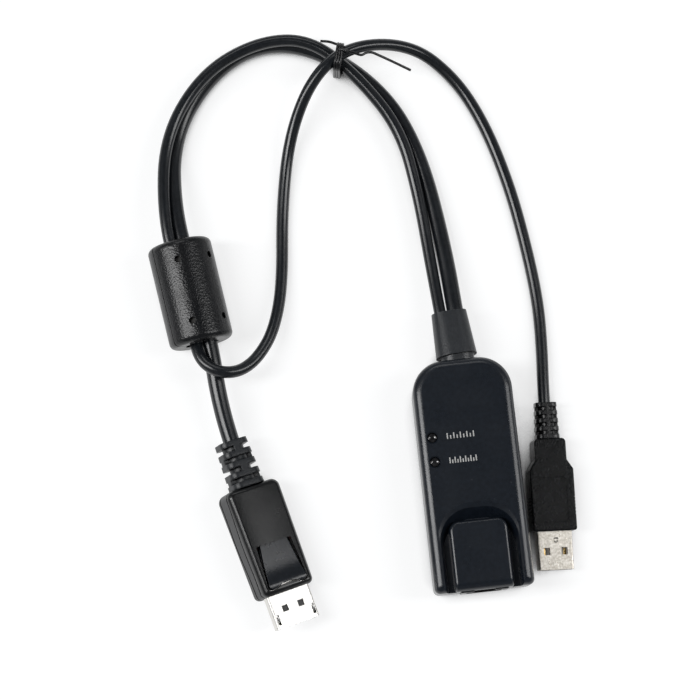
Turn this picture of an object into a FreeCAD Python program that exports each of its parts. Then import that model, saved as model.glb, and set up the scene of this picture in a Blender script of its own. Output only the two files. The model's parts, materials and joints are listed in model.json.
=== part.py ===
import FreeCAD, Part

import math
import os

from FreeCAD import Placement, Rotation, Vector

# KVM adapter cable. Units are millimetres. The housing stands on z = 0 with its socket end towards -Y,
# its cable end towards +Y, and its middle (socket face included) over the origin.

# ---------------------------------------------------------------- housing
HOUSING_WIDTH = 33.5
HOUSING_LENGTH = 77.8
HOUSING_WALL = 1.8
PARTING_HEIGHT = 9.0
CABLE_END_RADIUS = 11.0
SOCKET_END_RADIUS = 2.0
EDGE_ROUNDING = 2.9
LIP_HEIGHT = 1.2
LIP_WALL = 0.7
FIT = 0.1                     # clearance between pieces that plug together

# Scooped recess round the hood over the socket
RAIL_WIDTH = 3.5
ARCH_LENGTH = 28.0
ARCH_RADIUS = 11.0
SCOOP_DEPTH = 4.6
SCOOP_SIDE_RUN = 1.3
SCOOP_BACK_RUN = 4.0
SCOOP_RIM_DEPTH = 0.5         # height of the bevel round the rim of the scoop
SCOOP_RIM_RUN = 0.4
HOOD_WIDTH = 19.2
HOOD_LENGTH = 23.2
HOOD_RADIUS = 3.2
HOOD_DRAFT_RUN = 0.5
HOOD_EDGE_ROUNDING = 1.0
HOOD_WALL = 1.5

# ---------------------------------------------------------------- circuit board and what stands on it
BOARD_THICKNESS = 1.6
BOARD_LIFT = 0.9              # room under the board for solder joints
BOARD_SIDE_GAP = 0.6
BOARD_END_GAP = 0.4           # between the board and the wall at the socket end
BOARD_REAR_GAP = 10.8         # between the board and the cable end, for the boot and the cores
BOARD_POST_DIAMETER = 3.0
BOARD_POST_INSET = 2.5        # from the sides of the board
BOARD_POST_FRONT = 4.0        # from its socket end
BOARD_POST_REAR = 8.0         # from its cable end

JACK_WIDTH = 15.9
JACK_HEIGHT = 13.0
JACK_DEPTH = 16.5
JACK_PROUD = 0.4              # how far the jack stands out of the housing
JACK_MOUTH_WIDTH = 11.9
JACK_MOUTH_HEIGHT = 8.0
JACK_MOUTH_DEPTH = 13.5
JACK_MOUTH_FLOOR = 1.9
JACK_NOTCH_WIDTH = 7.0
JACK_NOTCH_HEIGHT = 1.6
JACK_NOTCH_OPEN = 2.0         # depth over which the notch is open to the top
JACK_HEADROOM = 0.9           # between the jack and the roof
CONTACT_COUNT = 8
CONTACT_PITCH = 1.02
CONTACT_WIRE = 0.4
CONTACT_RISE = 2.2
JACK_PIN_INSET = 1.5          # solder pins in from the back of the jack

LENS_DIAMETER = 3.2
LENS_RECESS = 0.9
LENS_PITCH = 8.2
LENS_SIDE = 4.85              # lens axis in from the side of the housing
LENS_UPPER_Y = 13.4
LENS_CHAMFER = 0.45
LED_LENGTH = 3.2
LED_HEIGHT = 1.3

PROCESSOR_SIZE = 14.0
PROCESSOR_HEIGHT = 1.4
PROCESSOR_X = 1.5
PROCESSOR_GAP = 5.0           # between the processor and the rear screw post
USB_CHIP_SIZE = 7.0
USB_CHIP_HEIGHT = 1.0
USB_CHIP_GAP = 6.3            # between the USB controller and the front screw post
CHIP_SPACING = 2.4            # between the USB controller and the processor
CRYSTAL_LENGTH = 5.0
CRYSTAL_WIDTH = 3.2
CRYSTAL_HEIGHT = 1.1
CRYSTAL_GAP = 3.7             # between the crystal and the USB controller
CAPACITOR_DIAMETER = 5.0
CAPACITOR_HEIGHT = 5.6
CAPACITOR_INSET = 3.3         # axis in from the side of the board
CAPACITOR_GAP = 0.6           # along the board, between a capacitor and the USB controller
HEADER_HEIGHT = 4.5
HEADER_DEPTH = 4.0
USB_HEADER_WIDTH = 7.0
DP_HEADER_WIDTH = 9.5
HEADER_POST_GAP = 1.0
HEADER_EDGE_GAP = 0.5

# Screws driven from below into posts of the top cover
SCREW_DIAMETER = 2.2
SCREW_LENGTH = 10.0
SCREW_HEAD_DIAMETER = 4.2
SCREW_HEAD_HEIGHT = 1.4
SCREW_POST_DIAMETER = 5.4
SCREW_JACK_GAP = 1.4          # between the front post and the jack
SCREW_REAR_INSET = 6.7        # rear post's axis in from the end of the board

# ---------------------------------------------------------------- cables
USB_CABLE_DIAMETER = 4.1
DP_CABLE_DIAMETER = 5.7
CABLE_BORE_GAP = 0.05         # round a cable in what is moulded over it
BEND_SHARE = 0.45             # of the shorter run, taken by the arc at a corner of a route

USB_ROUTE = (
    (-2.7, 33.6, 10.2), (-3.9, 53.3, 9.1), (-5.3, 74.2, 6.9), (-6.8, 98.2, 6.7), (-10.4, 121.3, 7.9),
    (-22.1, 140.1, 8.8), (-37.5, 156.1, 9.4), (-56.0, 157.7, 8.5), (-76.4, 148.5, 8.2),
    (-91.5, 127.5, 9.4), (-94.6, 99.5, 12.4), (-91.3, 77.1, 12.2), (-88.9, 63.7, 12.3),
    (-88.1, 55.7, 12.7), (-86.8, 48.9, 14.3), (-83.0, 44.7, 15.4), (-78.0, 43.0, 15.0),
    (-72.6, 43.9, 12.8), (-66.9, 48.3, 9.6), (-61.0, 57.2, 6.0), (-56.6, 72.8, 3.2),
    (-53.9, 100.5, 2.1), (-48.4, 125.3, 5.0), (-38.0, 143.0, 13.4), (-23.7, 151.7, 14.0),
    (-3.1, 151.7, 4.6), (10.4, 139.1, 2.1), (18.9, 121.7, 2.1), (24.8, 99.9, 2.1),
    (28.0, 79.4, 2.1), (30.0, 59.5, 2.1), (29.7, 44.3, 2.8), (27.7, 21.8, 4.7), (27.1, 4.0, 4.8),
)
DP_ROUTE = (
    (2.4, 33.6, 10.2), (1.2, 53.1, 9.1), (-0.1, 79.4, 5.2), (-4.6, 112.7, 3.0), (-14.4, 135.7, 3.5),
    (-35.1, 153.9, 4.2), (-56.2, 158.7, 3.1), (-75.1, 148.5, 2.9), (-89.2, 127.9, 3.6),
    (-91.0, 100.6, 8.8), (-86.6, 77.1, 10.0), (-83.0, 54.1, 9.8), (-82.0, 34.7, 9.2),
    (-78.6, 16.3, 9.0), (-74.2, -1.1, 8.9),
)
CONDUCTOR_DIAMETER = 0.9
CORE_STRAIGHT = 3.0           # of a core beyond its sheath before it bends
CORE_DROP = 1.4               # of a core down into its header

# Boot: a flange inside the housing, a neck through its wall and a tapered sleeve outside
BOOT_NECK_WIDTH = 11.3
BOOT_NECK_HEIGHT = 9.6
BOOT_NECK_SHOWING = 1.9
BOOT_FLANGE_OVERHANG = 1.3
BOOT_FLANGE_THICKNESS = 2.0
BOOT_BASE_WIDTH = 14.0
BOOT_BASE_HEIGHT = 12.4
BOOT_TIP_WIDTH = 12.0
BOOT_TIP_HEIGHT = 9.4
BOOT_LENGTH = 15.3
BOOT_LEAN = 3.5               # degrees towards -X
BOOT_DROOP = 4.0              # degrees down
BOOT_CORNER_SHARE = 0.46      # corner radius over the smaller side

# Ferrite bead: a ceramic core in a moulded jacket
JACKET_DIAMETER = 21.9
JACKET_LENGTH = 35.4
JACKET_EDGE = 2.1
CORE_DIAMETER = 17.6
CORE_BORE = 11.6
CORE_LENGTH = 28.5
BEAD_X, BEAD_Y = -88.0, 72.0
BEAD_HEADING = 172.4          # degrees from +Y towards +X, along the cables to the DisplayPort plug
BEAD_ROLL = 27.0
PIN_HOLE_DIAMETER = 2.3
PIN_HOLE_PITCH = 21.5
PIN_HOLE_ANGLE = 33.0         # each side of the mould's pull direction
END_RECESS_WIDTH = 11.6
END_RECESS_HEIGHT = 7.2
END_RECESS_DEPTH = 0.8

# Wire tie round the three strands
TIE_DIAMETER = 0.9
TIE_TURNS = 3
TIE_PITCH = 0.82
TIE_CENTRE = (-29.1, 147.9)
TIE_HEADING = 15.0            # degrees from +Y towards +X, across the strands
TIE_HALF_WIDTH = 4.63
TIE_TOP = 16.9
TIE_CORNER = 3.0
TIE_LEFT_TAIL = ((-28.0, 152.2, 13.0), (-29.5, 152.4, 14.2), (-31.7, 153.3, 14.9), (-34.7, 153.9, 14.6))
TIE_RIGHT_TAIL = ((-28.8, 149.9, 16.6), (-26.1, 148.9, 17.3), (-23.1, 147.6, 17.0), (-21.2, 146.9, 16.5),
                  (-19.5, 147.9, 16.0), (-17.5, 147.9, 15.4), (-11.2, 144.9, 12.4), (-4.8, 141.8, 8.8))

# ---------------------------------------------------------------- DisplayPort plug
# Plug frames: y runs towards the cable from the front face of the cover, z is the plug's own up.
DP_FRONT = (-66.4, -32.1)
DP_HEADING = 165.8
DP_ROLL = 24.0
DP_COVER_LENGTH = 37.6
DP_COVER_FRONT_WIDTH = 18.9
DP_COVER_REAR_WIDTH = 19.9
DP_COVER_TOP = 5.2            # above the axis of shell and cable
DP_COVER_BOTTOM = 6.0         # below it
DP_COVER_FRONT_CORNER = 1.9
DP_COVER_REAR_CORNER = 2.8
DP_COVER_EDGE = 1.8
DP_SEAM_FRONT = 1.8           # of each wavy seam from the middle of the cover's side, at its front
DP_SEAM_REAR = 3.2
DP_SEAM_WAVE = 0.4
DP_SEAM_GROOVE = 0.3          # width and depth
DP_COVER_WALL = 1.5           # of the upper and lower covers round the inner mould
DP_SHELL_WIDTH = 16.1
DP_SHELL_THICKNESS = 4.8
DP_SHELL_LENGTH = 11.2        # standing out of the cover
DP_SHELL_TAIL = 3.0           # held in the cover
DP_SHELL_WALL = 0.35
DP_SHELL_CORNER = 0.8
DP_SHELL_KEY = 1.7
DP_WINDOW = 2.2
DP_WINDOW_X = 3.0
DP_WINDOW_Y = -5.1
DP_SLIT_WIDTH = 1.0
DP_SLIT_LENGTH = 3.6
DP_HOOK_X = 6.7
DP_HOOK_Y = -8.2
DP_HOOK_RISE = 0.6
DP_SPRING_THICKNESS = 0.35
DP_SPRING_WIDTH = 0.6
DP_SPRING_GAP = 0.12          # under the roof of the shell
DP_PIVOT_Y = 17.0
DP_BUTTON_FRONT_Y = 1.9
DP_BUTTON_FRONT_WIDTH = 14.2
DP_BUTTON_REAR_WIDTH = 10.2
DP_BUTTON_THICKNESS = 1.7
DP_BUTTON_GAP = 0.4           # round its front
DP_BUTTON_REAR_GAP = 1.5      # at its sides by the hinge, where the slots are widest
DP_BUTTON_CROWN = 0.5
DP_BUTTON_DIP = 0.15
DP_BUTTON_WAVE = 1.15         # how far the middle of its front edge lies behind the ends
DP_FOOT_WIDTH = 6.0           # of the foot that carries the button on its spring
DP_FOOT_START = 4.0
DP_FOOT_LENGTH = 3.0
DP_TONGUE_SLOT_WIDTH = 10.6
DP_TONGUE_SLOT_HEIGHT = 1.5
DP_TONGUE_SLOT_DEPTH = 8.0
DP_INSERT_RECESS = 0.9
DP_CONTACTS_PER_SIDE = 10
DP_CONTACT_PITCH = 1.0
DP_CONTACT_WIDTH = 0.4
DP_CONTACT_THICKNESS = 0.2
DP_CARD_WIDTH = 12.0
DP_CARD_THICKNESS = 1.0
DP_CARD_LENGTH = 13.0
DP_CABLE_DEPTH = 6.0          # of cable inside the cover
DP_RELIEF_LENGTH = 16.4
DP_RELIEF_BASE_WIDTH = 11.4
DP_RELIEF_TIP_WIDTH = 10.2
DP_RELIEF_FLATNESS = 0.86     # height over width
DP_RELIEF_RINGS = 5
DP_RELIEF_GROOVE = 1.7
DP_RELIEF_CORE = 7.4
DP_RELIEF_BRIDGE = 2.6

# ---------------------------------------------------------------- USB plug
USB_FRONT = (25.8, -21.3)
USB_HEADING = 183.0
USB_ROLL = 8.5
USB_COVER_LENGTH = 31.4
USB_COVER_WIDTH = 15.1
USB_NECK_WIDTH = 10.9
USB_SHOULDER_START = 20.8
USB_SHOULDER_END = 24.0
USB_COVER_THICKNESS = 8.0
USB_COVER_CORNER = 0.8
USB_COVER_EDGE = 0.45
USB_PANEL_LENGTH = 15.3
USB_PANEL_WIDTH = 9.8
USB_PANEL_START = 2.9
USB_PANEL_DEPTH = 0.3
USB_PANEL_CORNER = 1.6
USB_TOOTH_COUNT = 6
USB_TOOTH_PITCH = 1.15
USB_TOOTH_START = 5.6
USB_TOOTH_DEPTH = 0.35
USB_SHELL_WIDTH = 12.0
USB_SHELL_THICKNESS = 4.5
USB_SHELL_LENGTH = 13.0
USB_SHELL_TAIL = 4.0
USB_SHELL_WALL = 0.3
USB_SHELL_CORNER = 0.5
USB_WINDOW_X = 3.05
USB_WINDOW_Y = -6.8
USB_WINDOW_WIDTH = 2.1
USB_WINDOW_LENGTH = 2.4
USB_INSERT_THICKNESS = 1.9
USB_INSERT_RECESS = 0.4
USB_CONTACT_PITCH = 2.4
USB_CONTACT_COUNT = 4
USB_CONTACT_WIDTH = 1.0
USB_CABLE_DEPTH = 6.0
USB_CORE_GATHER = 0.32        # spacing of the cores at the cable over that at the contacts
USB_RELIEF_LENGTH = 12.4
USB_RELIEF_BASE_WIDTH = 8.1
USB_RELIEF_TIP_WIDTH = 7.3
USB_RELIEF_FLATNESS = 0.88
USB_RELIEF_RINGS = 5
USB_RELIEF_GROOVE = 1.3
USB_RELIEF_CORE = 5.6
USB_RELIEF_SPINE = 1.1

# ---------------------------------------------------------------- values that follow from those above
HOUSING_HEIGHT = 2 * HOUSING_WALL + BOARD_LIFT + BOARD_THICKNESS + JACK_HEIGHT + JACK_HEADROOM
SOCKET_END_Y = -(HOUSING_LENGTH + JACK_PROUD) / 2 + JACK_PROUD
CABLE_END_Y = SOCKET_END_Y + HOUSING_LENGTH
JACK_FACE_Y = SOCKET_END_Y - JACK_PROUD
BOARD_BOTTOM = HOUSING_WALL + BOARD_LIFT
BOARD_TOP = BOARD_BOTTOM + BOARD_THICKNESS
BOARD_WIDTH = HOUSING_WIDTH - 2 * (HOUSING_WALL + BOARD_SIDE_GAP)
BOARD_FRONT_Y = SOCKET_END_Y + HOUSING_WALL + BOARD_END_GAP
BOARD_REAR_Y = CABLE_END_Y - BOARD_REAR_GAP
JACK_TOP = BOARD_TOP + JACK_HEIGHT
JACK_REAR_Y = JACK_FACE_Y + JACK_DEPTH
FRONT_SCREW_Y = JACK_REAR_Y + SCREW_JACK_GAP + SCREW_POST_DIAMETER / 2
REAR_SCREW_Y = BOARD_REAR_Y - SCREW_REAR_INSET
SCREW_SPOTS_Y = (FRONT_SCREW_Y, REAR_SCREW_Y)
# The gaps round the two chips share out the free length of board between the screw posts
CHIP_ROOM = REAR_SCREW_Y - FRONT_SCREW_Y - SCREW_POST_DIAMETER - USB_CHIP_SIZE - PROCESSOR_SIZE
CHIP_GAP_FIT = CHIP_ROOM / (USB_CHIP_GAP + CHIP_SPACING + PROCESSOR_GAP)
LENS_X = -(HOUSING_WIDTH / 2 - LENS_SIDE)
LENS_SPOTS_Y = (LENS_UPPER_Y, LENS_UPPER_Y - LENS_PITCH)
BOOT_AXIS_HEIGHT = HOUSING_HEIGHT / 2
UP = Vector(0, 0, 1)


# ---------------------------------------------------------------- shared operations
def save(shape, name):
    shape.exportStep("parts/" + name + ".step")


def box(x0, x1, y0, y1, z0, z1):
    return Part.makeBox(x1 - x0, y1 - y0, z1 - z0, Vector(x0, y0, z0))


def centred_box(width, y0, y1, z0, z1, x=0.0):
    return box(x - width / 2, x + width / 2, y0, y1, z0, z1)


def fuse_all(shapes):
    return shapes[0].multiFuse(shapes[1:]).removeSplitter() if len(shapes) > 1 else shapes[0]


def rounded_polygon(corners, z):
    """Closed wire at height z through (x, y, radius) corners, each rounded by its own radius."""
    count = len(corners)
    ends = []
    for index, (x, y, radius) in enumerate(corners):
        here = Vector(x, y, z)
        before = Vector(corners[index - 1][0], corners[index - 1][1], z)
        after = Vector(corners[(index + 1) % count][0], corners[(index + 1) % count][1], z)
        ends.append(corner_arc(before, here, after, radius))
    edges = []
    for index, (start, middle, end) in enumerate(ends):
        if middle is not None:
            edges.append(Part.Arc(start, middle, end).toShape())
        next_start = ends[(index + 1) % count][0]
        if (next_start - end).Length > 1e-6:
            edges.append(Part.LineSegment(end, next_start).toShape())
    return Part.Wire(edges)


def corner_arc(before, corner, after, radius):
    """Start, middle and end of the arc that rounds a corner; the corner itself where radius is 0."""
    if radius <= 0:
        return corner, None, corner
    incoming = (corner - before).normalize()
    outgoing = (after - corner).normalize()
    half_turn = incoming.getAngle(outgoing) / 2
    setback = radius * math.tan(half_turn)
    inward = (outgoing - incoming).normalize()
    middle = corner + inward * (radius / math.cos(half_turn) - radius)
    return corner - incoming * setback, middle, corner + outgoing * setback


def prism(wire, height):
    return Part.Face(wire).extrude(Vector(0, 0, height))


def rounded_box(width, length, height, corner, y0, z0, x=0.0):
    outline = [(x - width / 2, y0, corner), (x + width / 2, y0, corner),
               (x + width / 2, y0 + length, corner), (x - width / 2, y0 + length, corner)]
    return prism(rounded_polygon(outline, z0), height)


def rounded_section(width, height, corner):
    """Rounded rectangle in the XZ plane, centred on the Y axis."""
    corner = min(corner, 0.499 * min(width, height))
    flat = rounded_polygon([(-width / 2, -height / 2, corner), (width / 2, -height / 2, corner),
                            (width / 2, height / 2, corner), (-width / 2, height / 2, corner)], 0)
    flat.rotate(Vector(0, 0, 0), Vector(1, 0, 0), 90)
    return flat


def bar_along_y(width, height, corner, y0, y1):
    wire = rounded_section(width, height, corner)
    wire.translate(Vector(0, y0, 0))
    return Part.Face(wire).extrude(Vector(0, y1 - y0, 0))


def taper_along_y(start, end, corner_share, y0, y1):
    """Loft between rounded rectangles given as (width, height)."""
    wires = []
    for (width, height), y in ((start, y0), (end, y1)):
        wire = rounded_section(width, height, corner_share * min(width, height))
        wire.translate(Vector(0, y, 0))
        wires.append(wire)
    return Part.makeLoft(wires, True, True)


def edges_where(shape, test):
    return [edge for edge in shape.Edges if test(edge.BoundBox)]


def route_path(points):
    """Straight runs joined by tangent arcs; also gives the arc radii."""
    points = [Vector(*point) for point in points]
    runs = [(b - a).Length for a, b in zip(points, points[1:])]
    edges, radii = [], []
    start = points[0]
    for index in range(1, len(points) - 1):
        before, corner, after = points[index - 1:index + 2]
        setback = BEND_SHARE * min(runs[index - 1], runs[index])
        half_turn = (corner - before).getAngle(after - corner) / 2
        radius = setback / math.tan(half_turn)
        arc_start, arc_middle, arc_end = corner_arc(before, corner, after, radius)
        edges.append(Part.LineSegment(start, arc_start).toShape())
        edges.append(Part.Arc(arc_start, arc_middle, arc_end).toShape())
        radii.append(radius)
        start = arc_end
    edges.append(Part.LineSegment(start, points[-1]).toShape())
    return Part.Wire(edges), radii


def tube(points, diameter):
    path, _ = route_path(points)
    first, second = Vector(*points[0]), Vector(*points[1])
    ring = Part.Wire(Part.makeCircle(diameter / 2, first, second - first))
    return path.makePipeShell([ring], True, False)


def straight_tube(start, end, diameter):
    start, end = Vector(*start), Vector(*end)
    return Part.makeCylinder(diameter / 2, (end - start).Length, start, end - start)


def cable(points, diameter, name):
    path, radii = route_path(points)
    solid = tube(points, diameter)
    expected = path.Length * math.pi * diameter ** 2 / 4
    print(name, "length %.1f, volume over section x length %.4f" % (path.Length, solid.Volume / expected))
    print(name, "bend radii", ", ".join("%.1f" % radius for radius in radii))
    return solid


def plug_placement(front, heading, roll, height):
    """Plug frame to object frame: roll about the plug's axis, then point it along its heading."""
    turn = Rotation(UP, 180 - heading).multiply(Rotation(Vector(0, 1, 0), roll))
    return Placement(Vector(front[0], front[1], height), turn)


def resting_height(half_width, drop, rounding, roll):
    """Height of a plug's axis when its rolled cover rests on one rounded lower edge."""
    angle = math.radians(roll)
    return (half_width - rounding) * math.sin(angle) + (drop - rounding) * math.cos(angle) + rounding


def placed(shape, placement):
    moved = shape.copy()
    moved.Placement = placement.multiply(moved.Placement)
    return moved


USB_CABLE_CUTTER = tube(USB_ROUTE, USB_CABLE_DIAMETER + 2 * CABLE_BORE_GAP)
DP_CABLE_CUTTER = tube(DP_ROUTE, DP_CABLE_DIAMETER + 2 * CABLE_BORE_GAP)
DP_PLACEMENT = plug_placement(DP_FRONT, DP_HEADING, DP_ROLL,
                              resting_height(max(DP_COVER_FRONT_WIDTH, DP_COVER_REAR_WIDTH) / 2, DP_COVER_BOTTOM,
                                             DP_COVER_EDGE, DP_ROLL))
USB_PLACEMENT = plug_placement(USB_FRONT, USB_HEADING, USB_ROLL,
                               resting_height(USB_COVER_WIDTH / 2, USB_COVER_THICKNESS / 2,
                                              USB_COVER_EDGE, USB_ROLL))


# ---------------------------------------------------------------- housing covers
def housing_outline(inset, z):
    half = HOUSING_WIDTH / 2 - inset
    low, high = SOCKET_END_Y + inset, CABLE_END_Y - inset
    low_radius = max(SOCKET_END_RADIUS - inset, 0.2)
    high_radius = max(min(CABLE_END_RADIUS, HOUSING_WIDTH / 2 - 1) - inset, 0.2)
    return rounded_polygon([(-half, low, low_radius), (half, low, low_radius),
                            (half, high, high_radius), (-half, high, high_radius)], z)


def housing_block():
    block = prism(housing_outline(0, 0), HOUSING_HEIGHT)
    rims = edges_where(block, lambda b: b.ZLength < 1e-6)
    return block.makeFillet(EDGE_ROUNDING, rims)


def arch_outline(run, z):
    """Outer outline of the scoop, drawn in by run at the sides and by the same share at its back."""
    half = HOUSING_WIDTH / 2 - RAIL_WIDTH - run
    back = SOCKET_END_Y + ARCH_LENGTH - run * SCOOP_BACK_RUN / SCOOP_SIDE_RUN
    front = SOCKET_END_Y - 2 * SCOOP_DEPTH
    radius = ARCH_RADIUS - run
    return rounded_polygon([(-half, front, 0), (half, front, 0), (half, back, radius), (-half, back, radius)], z)


def hood_outline(inset, z):
    half = HOOD_WIDTH / 2 - inset
    back = SOCKET_END_Y + HOOD_LENGTH - inset
    front = SOCKET_END_Y - 3 * SCOOP_DEPTH
    radius = max(HOOD_RADIUS - inset, 0.2)
    return rounded_polygon([(-half, front, 0), (half, front, 0), (half, back, radius), (-half, back, radius)], z)


def scoop():
    """U-shaped recess round the hood, with a steep outer wall and a long slope at its back."""
    floor = HOUSING_HEIGHT - SCOOP_DEPTH
    above = HOUSING_HEIGHT + SCOOP_DEPTH
    bowl = Part.makeLoft([arch_outline(SCOOP_SIDE_RUN, floor), arch_outline(-SCOOP_SIDE_RUN, above)], True, True)
    rim = HOUSING_HEIGHT - SCOOP_RIM_DEPTH
    rim_run = SCOOP_SIDE_RUN * SCOOP_RIM_DEPTH / SCOOP_DEPTH
    rim_top = HOUSING_HEIGHT + SCOOP_RIM_DEPTH
    bevel = Part.makeLoft([arch_outline(rim_run, rim), arch_outline(-2 * SCOOP_RIM_RUN - rim_run, rim_top)],
                          True, True)
    hood = Part.makeLoft([hood_outline(-HOOD_DRAFT_RUN, floor), hood_outline(HOOD_DRAFT_RUN, above)], True, True)
    return bowl.fuse(bevel).cut(hood)


def cavity():
    """Room inside the housing: kept clear of the scoop's floor, and open up into the hood."""
    floor = HOUSING_HEIGHT - SCOOP_DEPTH
    room = prism(housing_outline(HOUSING_WALL, HOUSING_WALL), HOUSING_HEIGHT - 2 * HOUSING_WALL)
    under_scoop = prism(arch_outline(-HOUSING_WALL, floor - HOUSING_WALL), HOUSING_HEIGHT)
    in_hood = prism(hood_outline(HOOD_WALL, 0), HOUSING_HEIGHT - HOUSING_WALL)
    return room.cut(under_scoop.cut(in_hood))


def socket_opening():
    return centred_box(JACK_WIDTH + 2 * FIT, JACK_FACE_Y - 1, SOCKET_END_Y + HOUSING_WALL + 1,
                       BOARD_TOP - FIT, JACK_TOP + FIT)


def neck_opening():
    neck = bar_along_y(BOOT_NECK_WIDTH + 2 * FIT, BOOT_NECK_HEIGHT + 2 * FIT,
                       BOOT_CORNER_SHARE * BOOT_NECK_HEIGHT, CABLE_END_Y - HOUSING_WALL - 1, CABLE_END_Y + 1)
    neck.translate(Vector(0, 0, BOOT_AXIS_HEIGHT))
    return neck


def lip(gap):
    """Rim of the lower cover that stands up inside the upper one; gap widens it into its rebate."""
    outer = prism(housing_outline(HOUSING_WALL - LIP_WALL - gap, PARTING_HEIGHT), LIP_HEIGHT + gap)
    inner = prism(housing_outline(HOUSING_WALL, PARTING_HEIGHT - 1), LIP_HEIGHT + 3)
    return outer.cut(inner)


def hollow_housing():
    return housing_block().cut(cavity()).cut(socket_opening()).cut(neck_opening())


def screw_posts():
    """Posts under the roof of the upper cover, down to the seats of the lower one."""
    posts = []
    for y in SCREW_SPOTS_Y:
        post = Part.makeCylinder(SCREW_POST_DIAMETER / 2, HOUSING_HEIGHT - HOUSING_WALL / 2 - PARTING_HEIGHT,
                                 Vector(0, y, PARTING_HEIGHT))
        pilot = Part.makeCylinder(SCREW_DIAMETER / 2, SCREW_LENGTH, Vector(0, y, screw_seat()))
        posts.append(post.cut(pilot))
    return posts


def screw_seat():
    return SCREW_HEAD_HEIGHT + 0.3


def top_cover():
    upper = box(-HOUSING_WIDTH, HOUSING_WIDTH, SOCKET_END_Y - 5, CABLE_END_Y + 5,
                PARTING_HEIGHT, HOUSING_HEIGHT + 5)
    cover = hollow_housing().cut(scoop()).common(upper).cut(lip(FIT))
    cover = fuse_all([cover] + screw_posts())
    rim_test = (lambda b: b.ZLength < 1e-3 and abs(b.ZMax - HOUSING_HEIGHT) < 1e-3
                and b.YMin < SOCKET_END_Y + ARCH_LENGTH + 1)
    hood_rim = [edge for edge in edges_where(cover, rim_test)
                if max(abs(edge.BoundBox.XMin), abs(edge.BoundBox.XMax)) < HOOD_WIDTH / 2
                and edge.BoundBox.YMax < SOCKET_END_Y + HOOD_LENGTH + 0.5]
    cover = cover.makeFillet(HOOD_EDGE_ROUNDING, hood_rim)
    for y in LENS_SPOTS_Y:
        hole = Part.makeCylinder(LENS_DIAMETER / 2 + FIT, HOUSING_HEIGHT, Vector(LENS_X, y, 0))
        mouth = Part.makeCone(LENS_DIAMETER / 2 + FIT, LENS_DIAMETER / 2 + FIT + 2 * LENS_CHAMFER,
                              2 * LENS_CHAMFER, Vector(LENS_X, y, HOUSING_HEIGHT - LENS_CHAMFER))
        cover = cover.cut(hole).cut(mouth)
    return cover


def bottom_cover():
    lower = box(-HOUSING_WIDTH, HOUSING_WIDTH, SOCKET_END_Y - 5, CABLE_END_Y + 5, -5, PARTING_HEIGHT)
    cover = hollow_housing().common(lower)
    openings = socket_opening().fuse(neck_opening())
    cover = cover.fuse(lip(0).cut(openings)).removeSplitter()
    board_posts = []
    for x in (-BOARD_WIDTH / 2 + BOARD_POST_INSET, BOARD_WIDTH / 2 - BOARD_POST_INSET):
        for y in (BOARD_FRONT_Y + BOARD_POST_FRONT, BOARD_REAR_Y - BOARD_POST_REAR):
            board_posts.append(Part.makeCylinder(BOARD_POST_DIAMETER / 2, BOARD_LIFT + 0.5,
                                                 Vector(x, y, HOUSING_WALL - 0.5)))
    for y in SCREW_SPOTS_Y:
        board_posts.append(Part.makeCylinder(SCREW_POST_DIAMETER / 2, PARTING_HEIGHT - HOUSING_WALL + 0.5,
                                             Vector(0, y, HOUSING_WALL - 0.5)))
    cover = fuse_all([cover] + board_posts)
    for y in SCREW_SPOTS_Y:
        shank = Part.makeCylinder(SCREW_DIAMETER / 2 + FIT, PARTING_HEIGHT + 1, Vector(0, y, -0.5))
        head = Part.makeCylinder(SCREW_HEAD_DIAMETER / 2 + FIT, screw_seat() + 1, Vector(0, y, -1))
        cover = cover.cut(shank).cut(head)
    return cover


def cover_screws():
    """Two self-tapping screws with a cross recess, heads sunk in the lower cover."""
    screws = []
    for y in SCREW_SPOTS_Y:
        seat = screw_seat()
        shank = Part.makeCylinder(SCREW_DIAMETER / 2, SCREW_LENGTH, Vector(0, y, seat))
        depth = seat - SCREW_HEAD_HEIGHT
        head = Part.makeCylinder(SCREW_HEAD_DIAMETER / 2, SCREW_HEAD_HEIGHT, Vector(0, y, depth))
        slots = [box(-1.2, 1.2, y - 0.25, y + 0.25, depth - 0.1, depth + 0.8),
                 box(-0.25, 0.25, y - 1.2, y + 1.2, depth - 0.1, depth + 0.8)]
        screws.append(shank.fuse(head).removeSplitter().cut(fuse_all(slots)))
    return Part.makeCompound(screws)


# ---------------------------------------------------------------- board, socket and lamps
def circuit_board():
    length = BOARD_REAR_Y - BOARD_FRONT_Y
    board = rounded_box(BOARD_WIDTH, length, BOARD_THICKNESS, 1.0, BOARD_FRONT_Y, BOARD_BOTTOM)
    for y in SCREW_SPOTS_Y:
        board = board.cut(Part.makeCylinder(SCREW_POST_DIAMETER / 2 + 2 * FIT, HOUSING_HEIGHT, Vector(0, y, 0)))
    pin_y = JACK_REAR_Y - JACK_PIN_INSET
    for x in contact_positions(CONTACT_COUNT, CONTACT_PITCH):
        board = board.cut(centred_box(CONTACT_WIRE + FIT, pin_y - FIT, pin_y + CONTACT_WIRE + FIT,
                                      BOARD_BOTTOM - 1, BOARD_TOP + 1, x))
    return board


def on_board(width, length, height, x, y):
    return box(x - width / 2, x + width / 2, y - length / 2, y + length / 2, BOARD_TOP, BOARD_TOP + height)


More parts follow.
